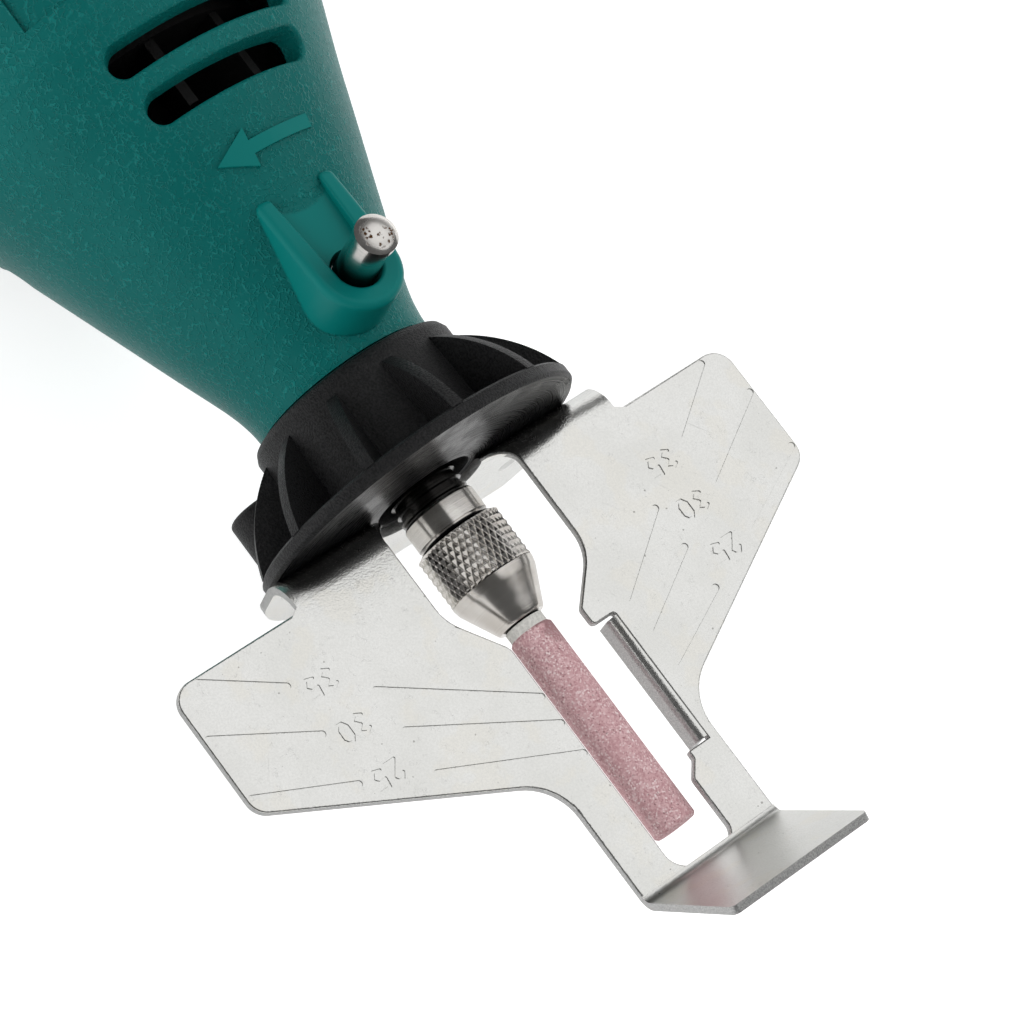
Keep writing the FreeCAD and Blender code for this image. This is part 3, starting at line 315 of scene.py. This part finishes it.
def start_material(name, colour, roughness, metallic=0.0):
    """Material with its Principled shader set to plain values; gives material, tree and shader."""
    made = bpy.data.materials.new(name)
    made.use_nodes = True
    tree = made.node_tree
    shader = tree.nodes["Principled BSDF"]
    shader.inputs["Base Color"].default_value = colour
    shader.inputs["Roughness"].default_value = roughness
    shader.inputs["Metallic"].default_value = metallic
    return made, tree, shader


def bump(tree, shader, height, depth):
    """Bump of that depth in metres into the shader's normal."""
    node = add(tree, "Bump", {"Height": height, "Distance": depth, "Strength": 1.0})
    tree.links.new(node.outputs[0], shader.inputs["Normal"])


def teal_plastic():
    """Moulded teal housing: leather grain on the skin, smooth on what stands proud ahead of the arrow's
    back.
    """
    made, tree, shader = start_material("teal_plastic", rgb(0.002, 0.115, 0.107), 0.34)
    shader.inputs["Specular IOR Level"].default_value = 0.14
    place = effect(tree, "spindle place")
    cone = calc(tree, "MULTIPLY_ADD", place["Behind"], CONE_SLOPE, CONE_FRONT_R - CONE_SLOPE * CONE_FRONT)
    skin = calc(tree, "MAXIMUM", cone, NOSE_R)
    proud = calc(tree, "SUBTRACT", place["Radius"], skin)
    on_barrel = ramp(tree, place["Behind"], BARREL_BACK - 3.0, BARREL_BACK + 1.0)
    in_front = ramp(tree, place["Behind"], ARROW_BACK, ARROW_BACK + 1.0, 1.0, 0.0)
    # Parts standing proud ahead of the arrow's back stay smooth and are painted lighter as a highlight.
    raised_and_highlit = calc(tree, "MULTIPLY", ramp(tree, proud, 0.2, 0.4), in_front)
    fine = effect(tree, "pebble grain", Size=0.62 * MM)["Height"]
    coarse = effect(tree, "pebble grain", Size=0.85 * MM)["Height"]
    grain = blend_values(tree, on_barrel, fine, coarse)
    groove = calc(tree, "MULTIPLY", calc(tree, "SUBTRACT", 1.0, grain), calc(tree, "SUBTRACT", 1.0, raised_and_highlit))
    patches = effect(tree, "clouds", Size=22 * MM)["Value"]
    tone = blend_colours(tree, patches, rgb(0.001, 0.112, 0.104), rgb(0.002, 0.130, 0.121))
    # Painted highlight: the grain's grooves are painted a lighter teal, standing in for light caught on the
    # pebbles' edges.
    tone = blend_colours(tree, calc(tree, "MULTIPLY", groove, 0.5), tone, rgb(0.012, 0.215, 0.200))
    # Painted highlight: proud parts take a lighter teal as a sheen.
    tone = blend_colours(tree, raised_and_highlit, tone, rgb(0.002, 0.168, 0.155))
    tree.links.new(tone, shader.inputs["Base Color"])
    tree.links.new(blend_values(tree, groove, 0.34, 0.26), shader.inputs["Roughness"])
    depth = blend_values(tree, on_barrel, 0.8, 1.0)
    bump(tree, shader, calc(tree, "MULTIPLY", groove, depth), 0.1 * MM)
    return made


def black_plastic():
    """Sand-textured black plastic, turned to a satin on faces that look along the spindle."""
    made, tree, shader = start_material("black_plastic", rgb(0.010, 0.010, 0.011), 0.5)
    shader.inputs["Specular IOR Level"].default_value = 0.3
    normal = add(tree, "SeparateXYZ", {0: add(tree, "NewGeometry").outputs["True Normal"]}).outputs["X"]
    face = ramp(tree, normal, 0.9, 0.98)
    sand = effect(tree, "sand", Size=0.24 * MM)["Height"]
    rings = effect(tree, "turned lines", Pitch=0.2, Across=1.0)["Height"]
    height = blend_values(tree, face, sand, calc(tree, "MULTIPLY", rings, 0.35))
    tone = blend_colours(tree, sand, rgb(0.003, 0.003, 0.0035), rgb(0.014, 0.014, 0.0145))
    tree.links.new(tone, shader.inputs["Base Color"])
    patches = effect(tree, "clouds", Size=9 * MM)["Value"]
    dull = calc(tree, "MULTIPLY_ADD", sand, -0.12, blend_values(tree, patches, 0.44, 0.54))
    satin = blend_values(tree, rings, 0.2, 0.5)
    tree.links.new(blend_values(tree, face, dull, satin), shader.inputs["Roughness"])
    bump(tree, shader, height, 0.045 * MM)
    return made


def worn_and_highlit_black():
    """Edge of the black plastic, lighter in places: partly rubbed wear, partly painted highlight."""
    made, tree, shader = start_material("worn_and_highlit_black", rgb(0.03, 0.03, 0.03), 0.35)
    # Lighter patches on the edge: partly wear, partly painted highlight of light caught by the edge.
    rubbed_and_highlit = ramp(tree, effect(tree, "clouds", Size=3 * MM)["Value"], 0.45, 0.7)
    tone = blend_colours(tree, rubbed_and_highlit, rgb(0.006, 0.006, 0.007), rgb(0.05, 0.05, 0.05))
    tree.links.new(tone, shader.inputs["Base Color"])
    tree.links.new(blend_values(tree, rubbed_and_highlit, 0.45, 0.3), shader.inputs["Roughness"])
    return made


def zinc_plate():
    """Bright zinc sheet: fine grain, faint yellow clouds, short scratches and dark pinholes."""
    made, tree, shader = start_material("zinc_plate", rgb(0.75, 0.75, 0.73), 0.26, 1.0)
    patches = effect(tree, "clouds", Size=7 * MM)["Value"]
    yellow = ramp(tree, effect(tree, "clouds", Size=5 * MM)["Value"], 0.6, 0.9)
    grain = effect(tree, "sand", Size=0.24 * MM)["Height"]
    drawn = effect(tree, "scratches", Size=1.1 * MM)["Mask"]
    hairs = effect(tree, "hairs", Size=1.2 * MM)["Mask"]
    nicks = effect(tree, "specks", Size=1.6 * MM, Share=0.25, Spot=0.09)["Mask"]
    spots = effect(tree, "specks", Size=0.8 * MM, Share=0.3, Spot=0.07)["Mask"]
    marks = calc(tree, "MAXIMUM", calc(tree, "MULTIPLY", drawn, 0.5), calc(tree, "MULTIPLY", hairs, 0.55))
    holes = calc(tree, "MAXIMUM", nicks, spots)
    tone = blend_colours(tree, patches, rgb(0.74, 0.74, 0.715), rgb(0.80, 0.80, 0.78))
    tone = blend_colours(tree, calc(tree, "MULTIPLY", yellow, 0.35), tone, rgb(0.78, 0.75, 0.67))
    tone = blend_colours(tree, calc(tree, "MULTIPLY", grain, 0.25), tone, rgb(0.60, 0.60, 0.58))
    tone = blend_colours(tree, calc(tree, "MULTIPLY", marks, 0.45), tone, rgb(0.36, 0.36, 0.35))
    tone = blend_colours(tree, calc(tree, "MULTIPLY", holes, 0.6), tone, rgb(0.15, 0.145, 0.13))
    tree.links.new(tone, shader.inputs["Base Color"])
    rough = calc(tree, "MULTIPLY_ADD", marks, 0.12, blend_values(tree, patches, 0.19, 0.25))
    ahead = calc(tree, "SUBTRACT", 0.0, effect(tree, "spindle place")["Behind"])
    on_foot = ramp(tree, ahead, FOOT - 1.0, FOOT + 1.0)
    tree.links.new(calc(tree, "MULTIPLY_ADD", on_foot, 0.12, rough), shader.inputs["Roughness"])
    height = calc(tree, "SUBTRACT", grain, calc(tree, "MULTIPLY", calc(tree, "ADD", marks, holes), 0.6))
    bump(tree, shader, height, 0.009 * MM)
    return made


def sheared_zinc_and_lip_shade():
    """Cut edge of the sheet, dull and finely torn; the plate's lip takes the same darker tone as painted
    shade.
    """
    made, tree, shader = start_material("sheared_zinc_and_lip_shade", rgb(0.42, 0.42, 0.42), 0.4, 0.8)
    torn = effect(tree, "sand", Size=0.16 * MM)["Height"]
    tone = blend_colours(tree, torn, rgb(0.30, 0.30, 0.30), rgb(0.55, 0.55, 0.54))
    tree.links.new(tone, shader.inputs["Base Color"])
    tree.links.new(blend_values(tree, torn, 0.32, 0.5), shader.inputs["Roughness"])
    bump(tree, shader, torn, 0.02 * MM)
    return made


def edge_shade_line():
    """Painted shade: a dark line along the rounded sharp edges of the sheet and of its stamped marks, broken
    up in places.
    """
    made, tree, shader = start_material("edge_shade_line", rgb(0.2, 0.2, 0.195), 0.55, 0.6)
    broken = effect(tree, "clouds", Size=1.5 * MM)["Value"]
    tone = blend_colours(tree, broken, rgb(0.06, 0.06, 0.058), rgb(0.24, 0.24, 0.235))
    tree.links.new(tone, shader.inputs["Base Color"])
    return made


def nickel_steel():
    """Plated steel with fine turning lines and a little brown, and a near-black band at the nut's back
    painted as shade between chuck and nut.
    """
    made, tree, shader = start_material("nickel_steel", rgb(0.62, 0.60, 0.57), 0.18, 1.0)
    rings = effect(tree, "turned lines", Pitch=0.09)["Height"]
    patches = effect(tree, "clouds", Size=4 * MM)["Value"]
    behind = effect(tree, "spindle place")["Behind"]
    # Painted shade: near-black within about 0.3 mm of the nut's back, where chuck and nut meet.
    gap_shade = ramp(tree, calc(tree, "ABSOLUTE", calc(tree, "SUBTRACT", behind, NUT_BACK)), 0.3, 0.42, 1.0, 0.0)
    tone = blend_colours(tree, patches, rgb(0.55, 0.52, 0.48), rgb(0.70, 0.68, 0.65))
    tone = blend_colours(tree, calc(tree, "MULTIPLY", rings, 0.4), tone, rgb(0.40, 0.37, 0.34))
    tree.links.new(blend_colours(tree, gap_shade, tone, rgb(0.01, 0.01, 0.01)), shader.inputs["Base Color"])
    tree.links.new(blend_values(tree, rings, 0.13, 0.26), shader.inputs["Roughness"])
    bump(tree, shader, rings, 0.007 * MM)
    return made


def pin_steel():
    """Bright pin, darkened towards its hole as painted shade, its domed end worn in brown spots."""
    made, tree, shader = start_material("pin_steel", rgb(0.70, 0.68, 0.65), 0.2, 1.0)
    height = effect(tree, "spindle place")["Radius"]
    spots = effect(tree, "specks", Size=0.5 * MM, Share=0.85, Spot=0.42)["Mask"]
    cluster = ramp(tree, effect(tree, "clouds", Size=1.9 * MM)["Value"], 0.42, 0.6)
    end = ramp(tree, height, PIN_TOP - 0.55, PIN_TOP - 0.3)
    worn = calc(tree, "MULTIPLY", calc(tree, "MULTIPLY", spots, cluster), end)
    # Painted shade: the shaft turns near-black towards the hole it comes out of.
    hole_shade = ramp(tree, height, PIN_TOP - 6.6, PIN_TOP - 3.6, 1.0, 0.0)
    scuffs = effect(tree, "scratches", Size=0.6 * MM)["Mask"]
    stripes = calc(tree, "MULTIPLY", effect(tree, "turned lines", Pitch=0.3, Across=1.0)["Height"], 0.3)
    marks = calc(tree, "MAXIMUM", scuffs, stripes)
    tone = blend_colours(tree, marks, rgb(0.72, 0.70, 0.67), rgb(0.35, 0.33, 0.31))
    tone = blend_colours(tree, calc(tree, "MULTIPLY", hole_shade, 0.9), tone, rgb(0.03, 0.032, 0.03))
    tree.links.new(blend_colours(tree, worn, tone, rgb(0.13, 0.065, 0.03)), shader.inputs["Base Color"])
    dull = blend_values(tree, end, 0.16, 0.3)
    tree.links.new(blend_values(tree, worn, dull, 0.6), shader.inputs["Roughness"])
    bump(tree, shader, calc(tree, "SUBTRACT", 1.0, worn), 0.02 * MM)
    return made


def plain_metal(name, colour, rough, grain_size, grain_depth):
    """Metal with an even grain, for pieces inside and for small hardware."""
    made, tree, shader = start_material(name, colour, rough, 1.0)
    grain = effect(tree, "sand", Size=grain_size)["Height"]
    patches = effect(tree, "clouds", Size=3 * MM)["Value"]
    dark = rgb(*(0.72 * part for part in colour[:3]))
    tree.links.new(blend_colours(tree, patches, dark, colour), shader.inputs["Base Color"])
    tree.links.new(blend_values(tree, grain, rough * 0.8, rough * 1.25), shader.inputs["Roughness"])
    bump(tree, shader, grain, grain_depth)
    return made


def dull_material(name, colour, rough, grain_size, grain_depth):
    """Unplated, matt material with an even grain: rubber, carbon, cement."""
    made, tree, shader = start_material(name, colour, rough)
    grain = effect(tree, "sand", Size=grain_size)["Height"]
    dark = rgb(*(0.78 * part for part in colour[:3]))
    tree.links.new(blend_colours(tree, grain, dark, colour), shader.inputs["Base Color"])
    bump(tree, shader, grain, grain_depth)
    return made


def lined_metal(name, colour, dark, rough, pitch, across, depth):
    """Stacked sheets or wound wire: lines of two tones round the spindle."""
    made, tree, shader = start_material(name, colour, rough, 1.0)
    lines = effect(tree, "turned lines", Pitch=pitch, Across=across)["Height"]
    tree.links.new(blend_colours(tree, lines, dark, colour), shader.inputs["Base Color"])
    bump(tree, shader, lines, depth)
    return made


def pink_abrasive():
    """Vitrified pink stone: packed grains of several tones, open pores, and a dark stain by the shank."""
    made, tree, shader = start_material("pink_abrasive", rgb(0.62, 0.38, 0.39), 0.85)
    shader.inputs["Specular IOR Level"].default_value = 0.25
    grains = add(tree, "TexVoronoi", {"Vector": place_in_part(tree), "Scale": 1 / (0.18 * MM)})
    tones = add(tree, "SeparateColor", {0: grains.outputs["Color"]}).outputs
    pores = effect(tree, "specks", Size=0.45 * MM, Share=0.4, Spot=0.22)["Mask"]
    patches = effect(tree, "clouds", Size=2.2 * MM)["Value"]
    tone = blend_colours(tree, tones[0], rgb(0.50, 0.265, 0.285), rgb(0.80, 0.56, 0.575))
    tone = blend_colours(tree, ramp(tree, tones[1], 0.86, 0.92), tone, rgb(0.90, 0.74, 0.74))
    tone = blend_colours(tree, calc(tree, "MULTIPLY", patches, 0.4), tone, rgb(0.60, 0.33, 0.35))
    tone = blend_colours(tree, calc(tree, "MULTIPLY", pores, 0.6), tone, rgb(0.22, 0.085, 0.09))
    ahead = calc(tree, "SUBTRACT", 0.0, effect(tree, "spindle place")["Behind"])
    near_shank = ramp(tree, ahead, STAIN_FRONT, STAIN_BACK)
    uneven = ramp(tree, effect(tree, "clouds", Size=4 * MM)["Value"], 0.3, 0.6)
    stain = calc(tree, "MULTIPLY", near_shank, uneven)
    tone = blend_colours(tree, calc(tree, "MULTIPLY", stain, 0.7), tone, rgb(0.25, 0.13, 0.135))
    tree.links.new(tone, shader.inputs["Base Color"])
    height = calc(tree, "SUBTRACT", grains.outputs["Distance"], pores)
    bump(tree, shader, height, 0.05 * MM)
    return made


FINISHES = {
    "teal_plastic": teal_plastic(),
    "black_plastic": black_plastic(),
    "black_rubber": dull_material("black_rubber", rgb(0.014, 0.014, 0.015), 0.75, 0.4 * MM, 0.02 * MM),
    "bearing_steel": plain_metal("bearing_steel", rgb(0.60, 0.60, 0.61), 0.2, 0.3 * MM, 0.002 * MM),
    "black_steel": plain_metal("black_steel", rgb(0.06, 0.058, 0.055), 0.2, 0.3 * MM, 0.001 * MM),
    "nickel_steel": nickel_steel(),
    "zinc_plate": zinc_plate(),
    "zinc_screws": plain_metal("zinc_screws", rgb(0.70, 0.70, 0.68), 0.28, 0.25 * MM, 0.004 * MM),
    "spring_steel": plain_metal("spring_steel", rgb(0.45, 0.45, 0.46), 0.25, 0.2 * MM, 0.003 * MM),
    "lamination_steel": lined_metal(
        "lamination_steel", rgb(0.30, 0.30, 0.32), rgb(0.10, 0.10, 0.11), 0.4, 0.35, 0.0, 0.02 * MM),
    "enamelled_copper": lined_metal(
        "enamelled_copper", rgb(0.55, 0.20, 0.07), rgb(0.20, 0.055, 0.02), 0.3, 0.3, 1.0, 0.08 * MM),
    "copper": plain_metal("copper", rgb(0.78, 0.38, 0.24), 0.28, 0.3 * MM, 0.004 * MM),
    "brass": plain_metal("brass", rgb(0.75, 0.56, 0.27), 0.25, 0.3 * MM, 0.004 * MM),
    "carbon": dull_material("carbon", rgb(0.022, 0.022, 0.023), 0.6, 0.25 * MM, 0.01 * MM),
    "stone_cement": dull_material("stone_cement", rgb(0.78, 0.77, 0.73), 0.85, 0.35 * MM, 0.04 * MM),
    "pink_abrasive": pink_abrasive(),
}
PIN_STEEL = pin_steel()
# Matt near-black for the fan and baffle ring: their own black made darker as painted shade inside the
# housing.
INNER_BLACK = dull_material("inner_black", rgb(0.004, 0.0035, 0.0035), 0.7, 0.4 * MM, 0.02 * MM)
EDGE_SHADE_LINE = edge_shade_line()
SHEARED_ZINC_AND_LIP_SHADE = sheared_zinc_and_lip_shade()
WORN_AND_HIGHLIT_BLACK = worn_and_highlit_black()


def dress_nodes():
    """Each node of the frame takes the finish of its material slot, and three take one of their own."""
    for part in frame["record"]["subparts"]:
        mesh = nodes[part["node"]].data
        mesh.materials.clear()
        mesh.materials.append(FINISHES[part["material_slot"]])
    nodes["lock_pin"].data.materials[0] = PIN_STEEL
    # The fan and baffle ring are painted darker as shade inside the housing.
    for name in ("fan", "baffle_ring"):
        nodes[name].data.materials[0] = INNER_BLACK


def tidy_edges(name, width, edge_finish):
    """Joins the node's facets and rounds its sharp edges by width, in their own finish."""
    piece = nodes[name]
    piece.data.materials.append(edge_finish)
    weld = piece.modifiers.new("join", "WELD")
    weld.merge_threshold = WELD_GAP
    flats = piece.modifiers.new("flats", "DECIMATE")
    flats.decimate_type = "DISSOLVE"
    flats.delimit = {"MATERIAL"}
    flats.angle_limit = radians(FLAT_ANGLE)
    round_off = piece.modifiers.new("round_off", "BEVEL")
    round_off.width = width
    round_off.segments = EDGE_STEPS
    round_off.limit_method = "ANGLE"
    round_off.angle_limit = radians(EDGE_ANGLE)
    round_off.material = 1
    round_off.use_clamp_overlap = True
    round_off.harden_normals = True


def show_sheared_and_lip_shade(name, thickness, finish):
    """Gives a sheet's cut edges their dull finish, and its lip the same darker tone as painted shade.

    The cut edges are the faces with more than the sheet's thickness behind them; faces that look sideways
    take it too, so the lip is darkened as painted shade.
    """
    mesh = nodes[name].data
    mesh.materials.append(finish)
    index = len(mesh.materials) - 1
    corners = [corner.co for corner in mesh.vertices]
    sheet = BVHTree.FromPolygons(corners, [face.vertices for face in mesh.polygons])
    for face in mesh.polygons:
        inward = -face.normal
        depth = sheet.ray_cast(face.center + inward * RAY_START, inward)[3]
        is_cut = depth is not None and depth > CUT_DEPTH * thickness
        # Faces that look sideways, the lip among them, are darkened as painted shade.
        if is_cut or abs(inward.y) > SIDEWAYS:
            face.material_index = index


def lathe(name, profile, sides, radius_at):
    """Closed ring of quads round the spindle axis from (x, r) corners; radius_at gives a point's radius."""
    mesh = bpy.data.meshes.new(name)
    shape = bmesh.new()
    rings = []
    for x, radius in profile:
        ring = []
        for i in range(sides):
            turn = tau * i / sides
            here = radius_at(x, radius, turn)
            ring.append(shape.verts.new((x, here * sin(turn), AXIS_Z + here * cos(turn))))
        rings.append(ring)
    for ring, following in zip(rings, rings[1:] + rings[:1]):
        for i in range(sides):
            after = (i + 1) % sides
            shape.faces.new((ring[i], ring[after], following[after], following[i]))
    bmesh.ops.recalc_face_normals(shape, faces=shape.faces)
    shape.to_mesh(mesh)
    shape.free()
    piece = bpy.data.objects.new(name, mesh)
    bpy.context.scene.collection.objects.link(piece)
    return piece


def saw_tooth(value):
    """0 in a groove's floor, 1 on the crest between two grooves."""
    return 1.0 - abs(2.0 * (value % 1.0) - 1.0)


def knurled_nut():
    """Chuck nut with its diamond knurl cut into the mesh, and a smooth turned cone in front."""
    low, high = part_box("chuck_nut")
    outer = (high.y - low.y) / 2
    back = low.x
    tip = high.x
    start = back + KNURL_START
    end = back + KNURL_END
    cone_back = back + NUT_CONE_BACK
    cone_r = outer - NUT_CONE_STEP
    lead = tau * outer / KNURLS / tan(radians(KNURL_SLANT))

    def cut(x, radius, turn):
        if not start <= x <= end or radius < outer - KNURL_SKIN:
            return radius
        fade = min(1.0, (x - start) / KNURL_FADE, (end - x) / KNURL_FADE)
        around = turn / tau * KNURLS
        along = (x - start) / lead
        crest = min(saw_tooth(around + along), saw_tooth(around - along))
        return radius - KNURL_DEPTH * fade * (1.0 - crest)

    profile = [(back, NUT_BORE_R), (back, outer - 0.75 * MM), (back + 0.2 * MM, outer - 0.45 * MM)]
    profile += [(start + (end - start) * i / KNURL_ROWS, outer) for i in range(KNURL_ROWS + 1)]
    profile += [(end + 0.12 * MM, outer - 0.03 * MM), (cone_back, cone_r)]
    for i in range(1, NUT_CONE_ROWS):
        share = i / NUT_CONE_ROWS
        profile.append((cone_back + (tip - cone_back) * share, cone_r + (NUT_TIP_R - cone_r) * share))
    profile += [(tip - 0.12 * MM, NUT_TIP_R + 0.05 * MM), (tip, NUT_TIP_R - 0.1 * MM), (tip, NUT_THROAT_R),
                (end, NUT_THROAT_R), (end, NUT_BORE_R)]
    piece = lathe("knurled_chuck_nut", profile, KNURLS * KNURL_SIDES, cut)
    piece.data.materials.append(FINISHES["nickel_steel"])
    piece.data.shade_smooth()
    piece.data.set_sharp_from_angle(angle=radians(NUT_SHARP_ANGLE))
    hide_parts("chuck_nut")
    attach(piece, "chuck_nut")


def lock_coil():
    """Return spring of the lock pin, as a copy of the frame's spring fixed to the housing."""
    piece = bpy.data.objects.new("lock_coil", nodes["lock_spring"].data.copy())
    bpy.context.scene.collection.objects.link(piece)
    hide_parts("lock_spring")
    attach(piece, "housing")
    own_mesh(piece)


def seen_as_backdrop(tree, seen, mirrored, otherwise):
    """One strength for rays that look straight at the backdrop, one in a reflection, and one for light."""
    path = add(tree, "LightPath").outputs
    mirror = calc(tree, "MAXIMUM", path["Is Glossy Ray"], path["Is Transmission Ray"])
    return blend_values(tree, path["Is Camera Ray"], blend_values(tree, mirror, otherwise, mirrored), seen)


def floor_and_world():
    """White floor that still takes a soft shadow, under a plain white sky."""
    mesh = bpy.data.meshes.new("floor")
    corners = [(x * FLOOR_REACH, y * FLOOR_REACH, 0) for x, y in ((-1, -1), (1, -1), (1, 1), (-1, 1))]
    mesh.from_pydata(corners, [], [(0, 1, 2, 3)])
    floor = bpy.data.objects.new("floor", mesh)
    bpy.context.scene.collection.objects.link(floor)
    made, tree, shader = start_material("floor", rgb(0.9, 0.9, 0.9), 0.9)
    shader.inputs["Emission Color"].default_value = rgb(1, 1, 1)
    glow = seen_as_backdrop(tree, seen=0.6, mirrored=0.3, otherwise=0.0)
    tree.links.new(glow, shader.inputs["Emission Strength"])
    mesh.materials.append(made)
    world = bpy.data.worlds.new("studio")
    world.use_nodes = True
    bpy.context.scene.world = world
    tree = world.node_tree
    sky = tree.nodes["Background"]
    sky.inputs["Color"].default_value = rgb(1, 1, 1)
    glow = seen_as_backdrop(tree, seen=1.0, mirrored=1.0, otherwise=0.45)
    tree.links.new(glow, sky.inputs["Strength"])


def softbox(name, place, target, radiance):
    """Rectangular lamp that looks at the target; radiance 1 would look white in a mirror."""
    data = bpy.data.lights.new(name, "AREA")
    data.shape = "RECTANGLE"
    data.size = BOX_WIDTH
    data.size_y = BOX_HEIGHT
    data.energy = radiance * pi * BOX_WIDTH * BOX_HEIGHT
    lamp = bpy.data.objects.new(name, data)
    bpy.context.scene.collection.objects.link(lamp)
    lamp.location = place
    lamp.rotation_euler = (target - place).to_track_quat("-Z", "Y").to_euler()
    lamp.visible_glossy = False


def studio_dome():
    """Grey dome round the set, open above and along the horizon; it shows only in reflections."""
    shape = bmesh.new()
    bmesh.ops.create_uvsphere(shape, u_segments=96, v_segments=48, radius=DOME_R)
    opening = DOME_OPENS.normalized()
    for face in list(shape.faces):
        way = face.calc_center_median().normalized()
        if way.z < sin(radians(DOME_FOOT)) or way.angle(opening) < radians(DOME_OPENING):
            shape.faces.remove(face)
    mesh = bpy.data.meshes.new("studio_dome")
    shape.to_mesh(mesh)
    shape.free()
    mesh.materials.append(start_material("studio_dome", rgb(DOME_TONE, DOME_TONE, DOME_TONE), 1.0)[0])
    dome = bpy.data.objects.new("studio_dome", mesh)
    bpy.context.scene.collection.objects.link(dome)
    dome.visible_camera = False
    dome.visible_diffuse = False
    dome.visible_shadow = False
    dome.visible_transmission = False


def lights():
    """A softbox on each side; metal sees the white world through the dome's opening instead of them."""
    for name, place, radiance in SOFTBOXES:
        softbox(name, PLATE_MIDDLE + place, PLATE_MIDDLE, radiance)
    studio_dome()


def camera():
    """Camera at the photograph's place and angle."""
    data = bpy.data.cameras.new("camera")
    data.lens = CAMERA_LENS
    data.clip_start = CAMERA_NEAR
    eye = bpy.data.objects.new("camera", data)
    bpy.context.scene.collection.objects.link(eye)
    back = CAMERA_RIGHT.cross(CAMERA_UP)
    turn = Matrix((CAMERA_RIGHT, CAMERA_UP, back)).transposed().to_4x4()
    eye.matrix_world = Matrix.Translation(CAMERA_PLACE) @ turn
    bpy.context.scene.camera = eye


dress_nodes()
knurled_nut()
lock_coil()
# The plate's rounded edges take a painted dark line of shade.
tidy_edges("guide_plate", PLATE_ROUND, EDGE_SHADE_LINE)
# Cut edges take their dull finish; the lip and other sideways faces take it as painted shade.
show_sheared_and_lip_shade("guide_plate", SHEET, SHEARED_ZINC_AND_LIP_SHADE)
# The holder's rounded edges are lighter in places, partly wear and partly painted highlight.
tidy_edges("guide_holder", HOLDER_ROUND, WORN_AND_HIGHLIT_BLACK)
floor_and_world()
lights()
camera()
bpy.context.scene.view_settings.view_transform = "Standard"
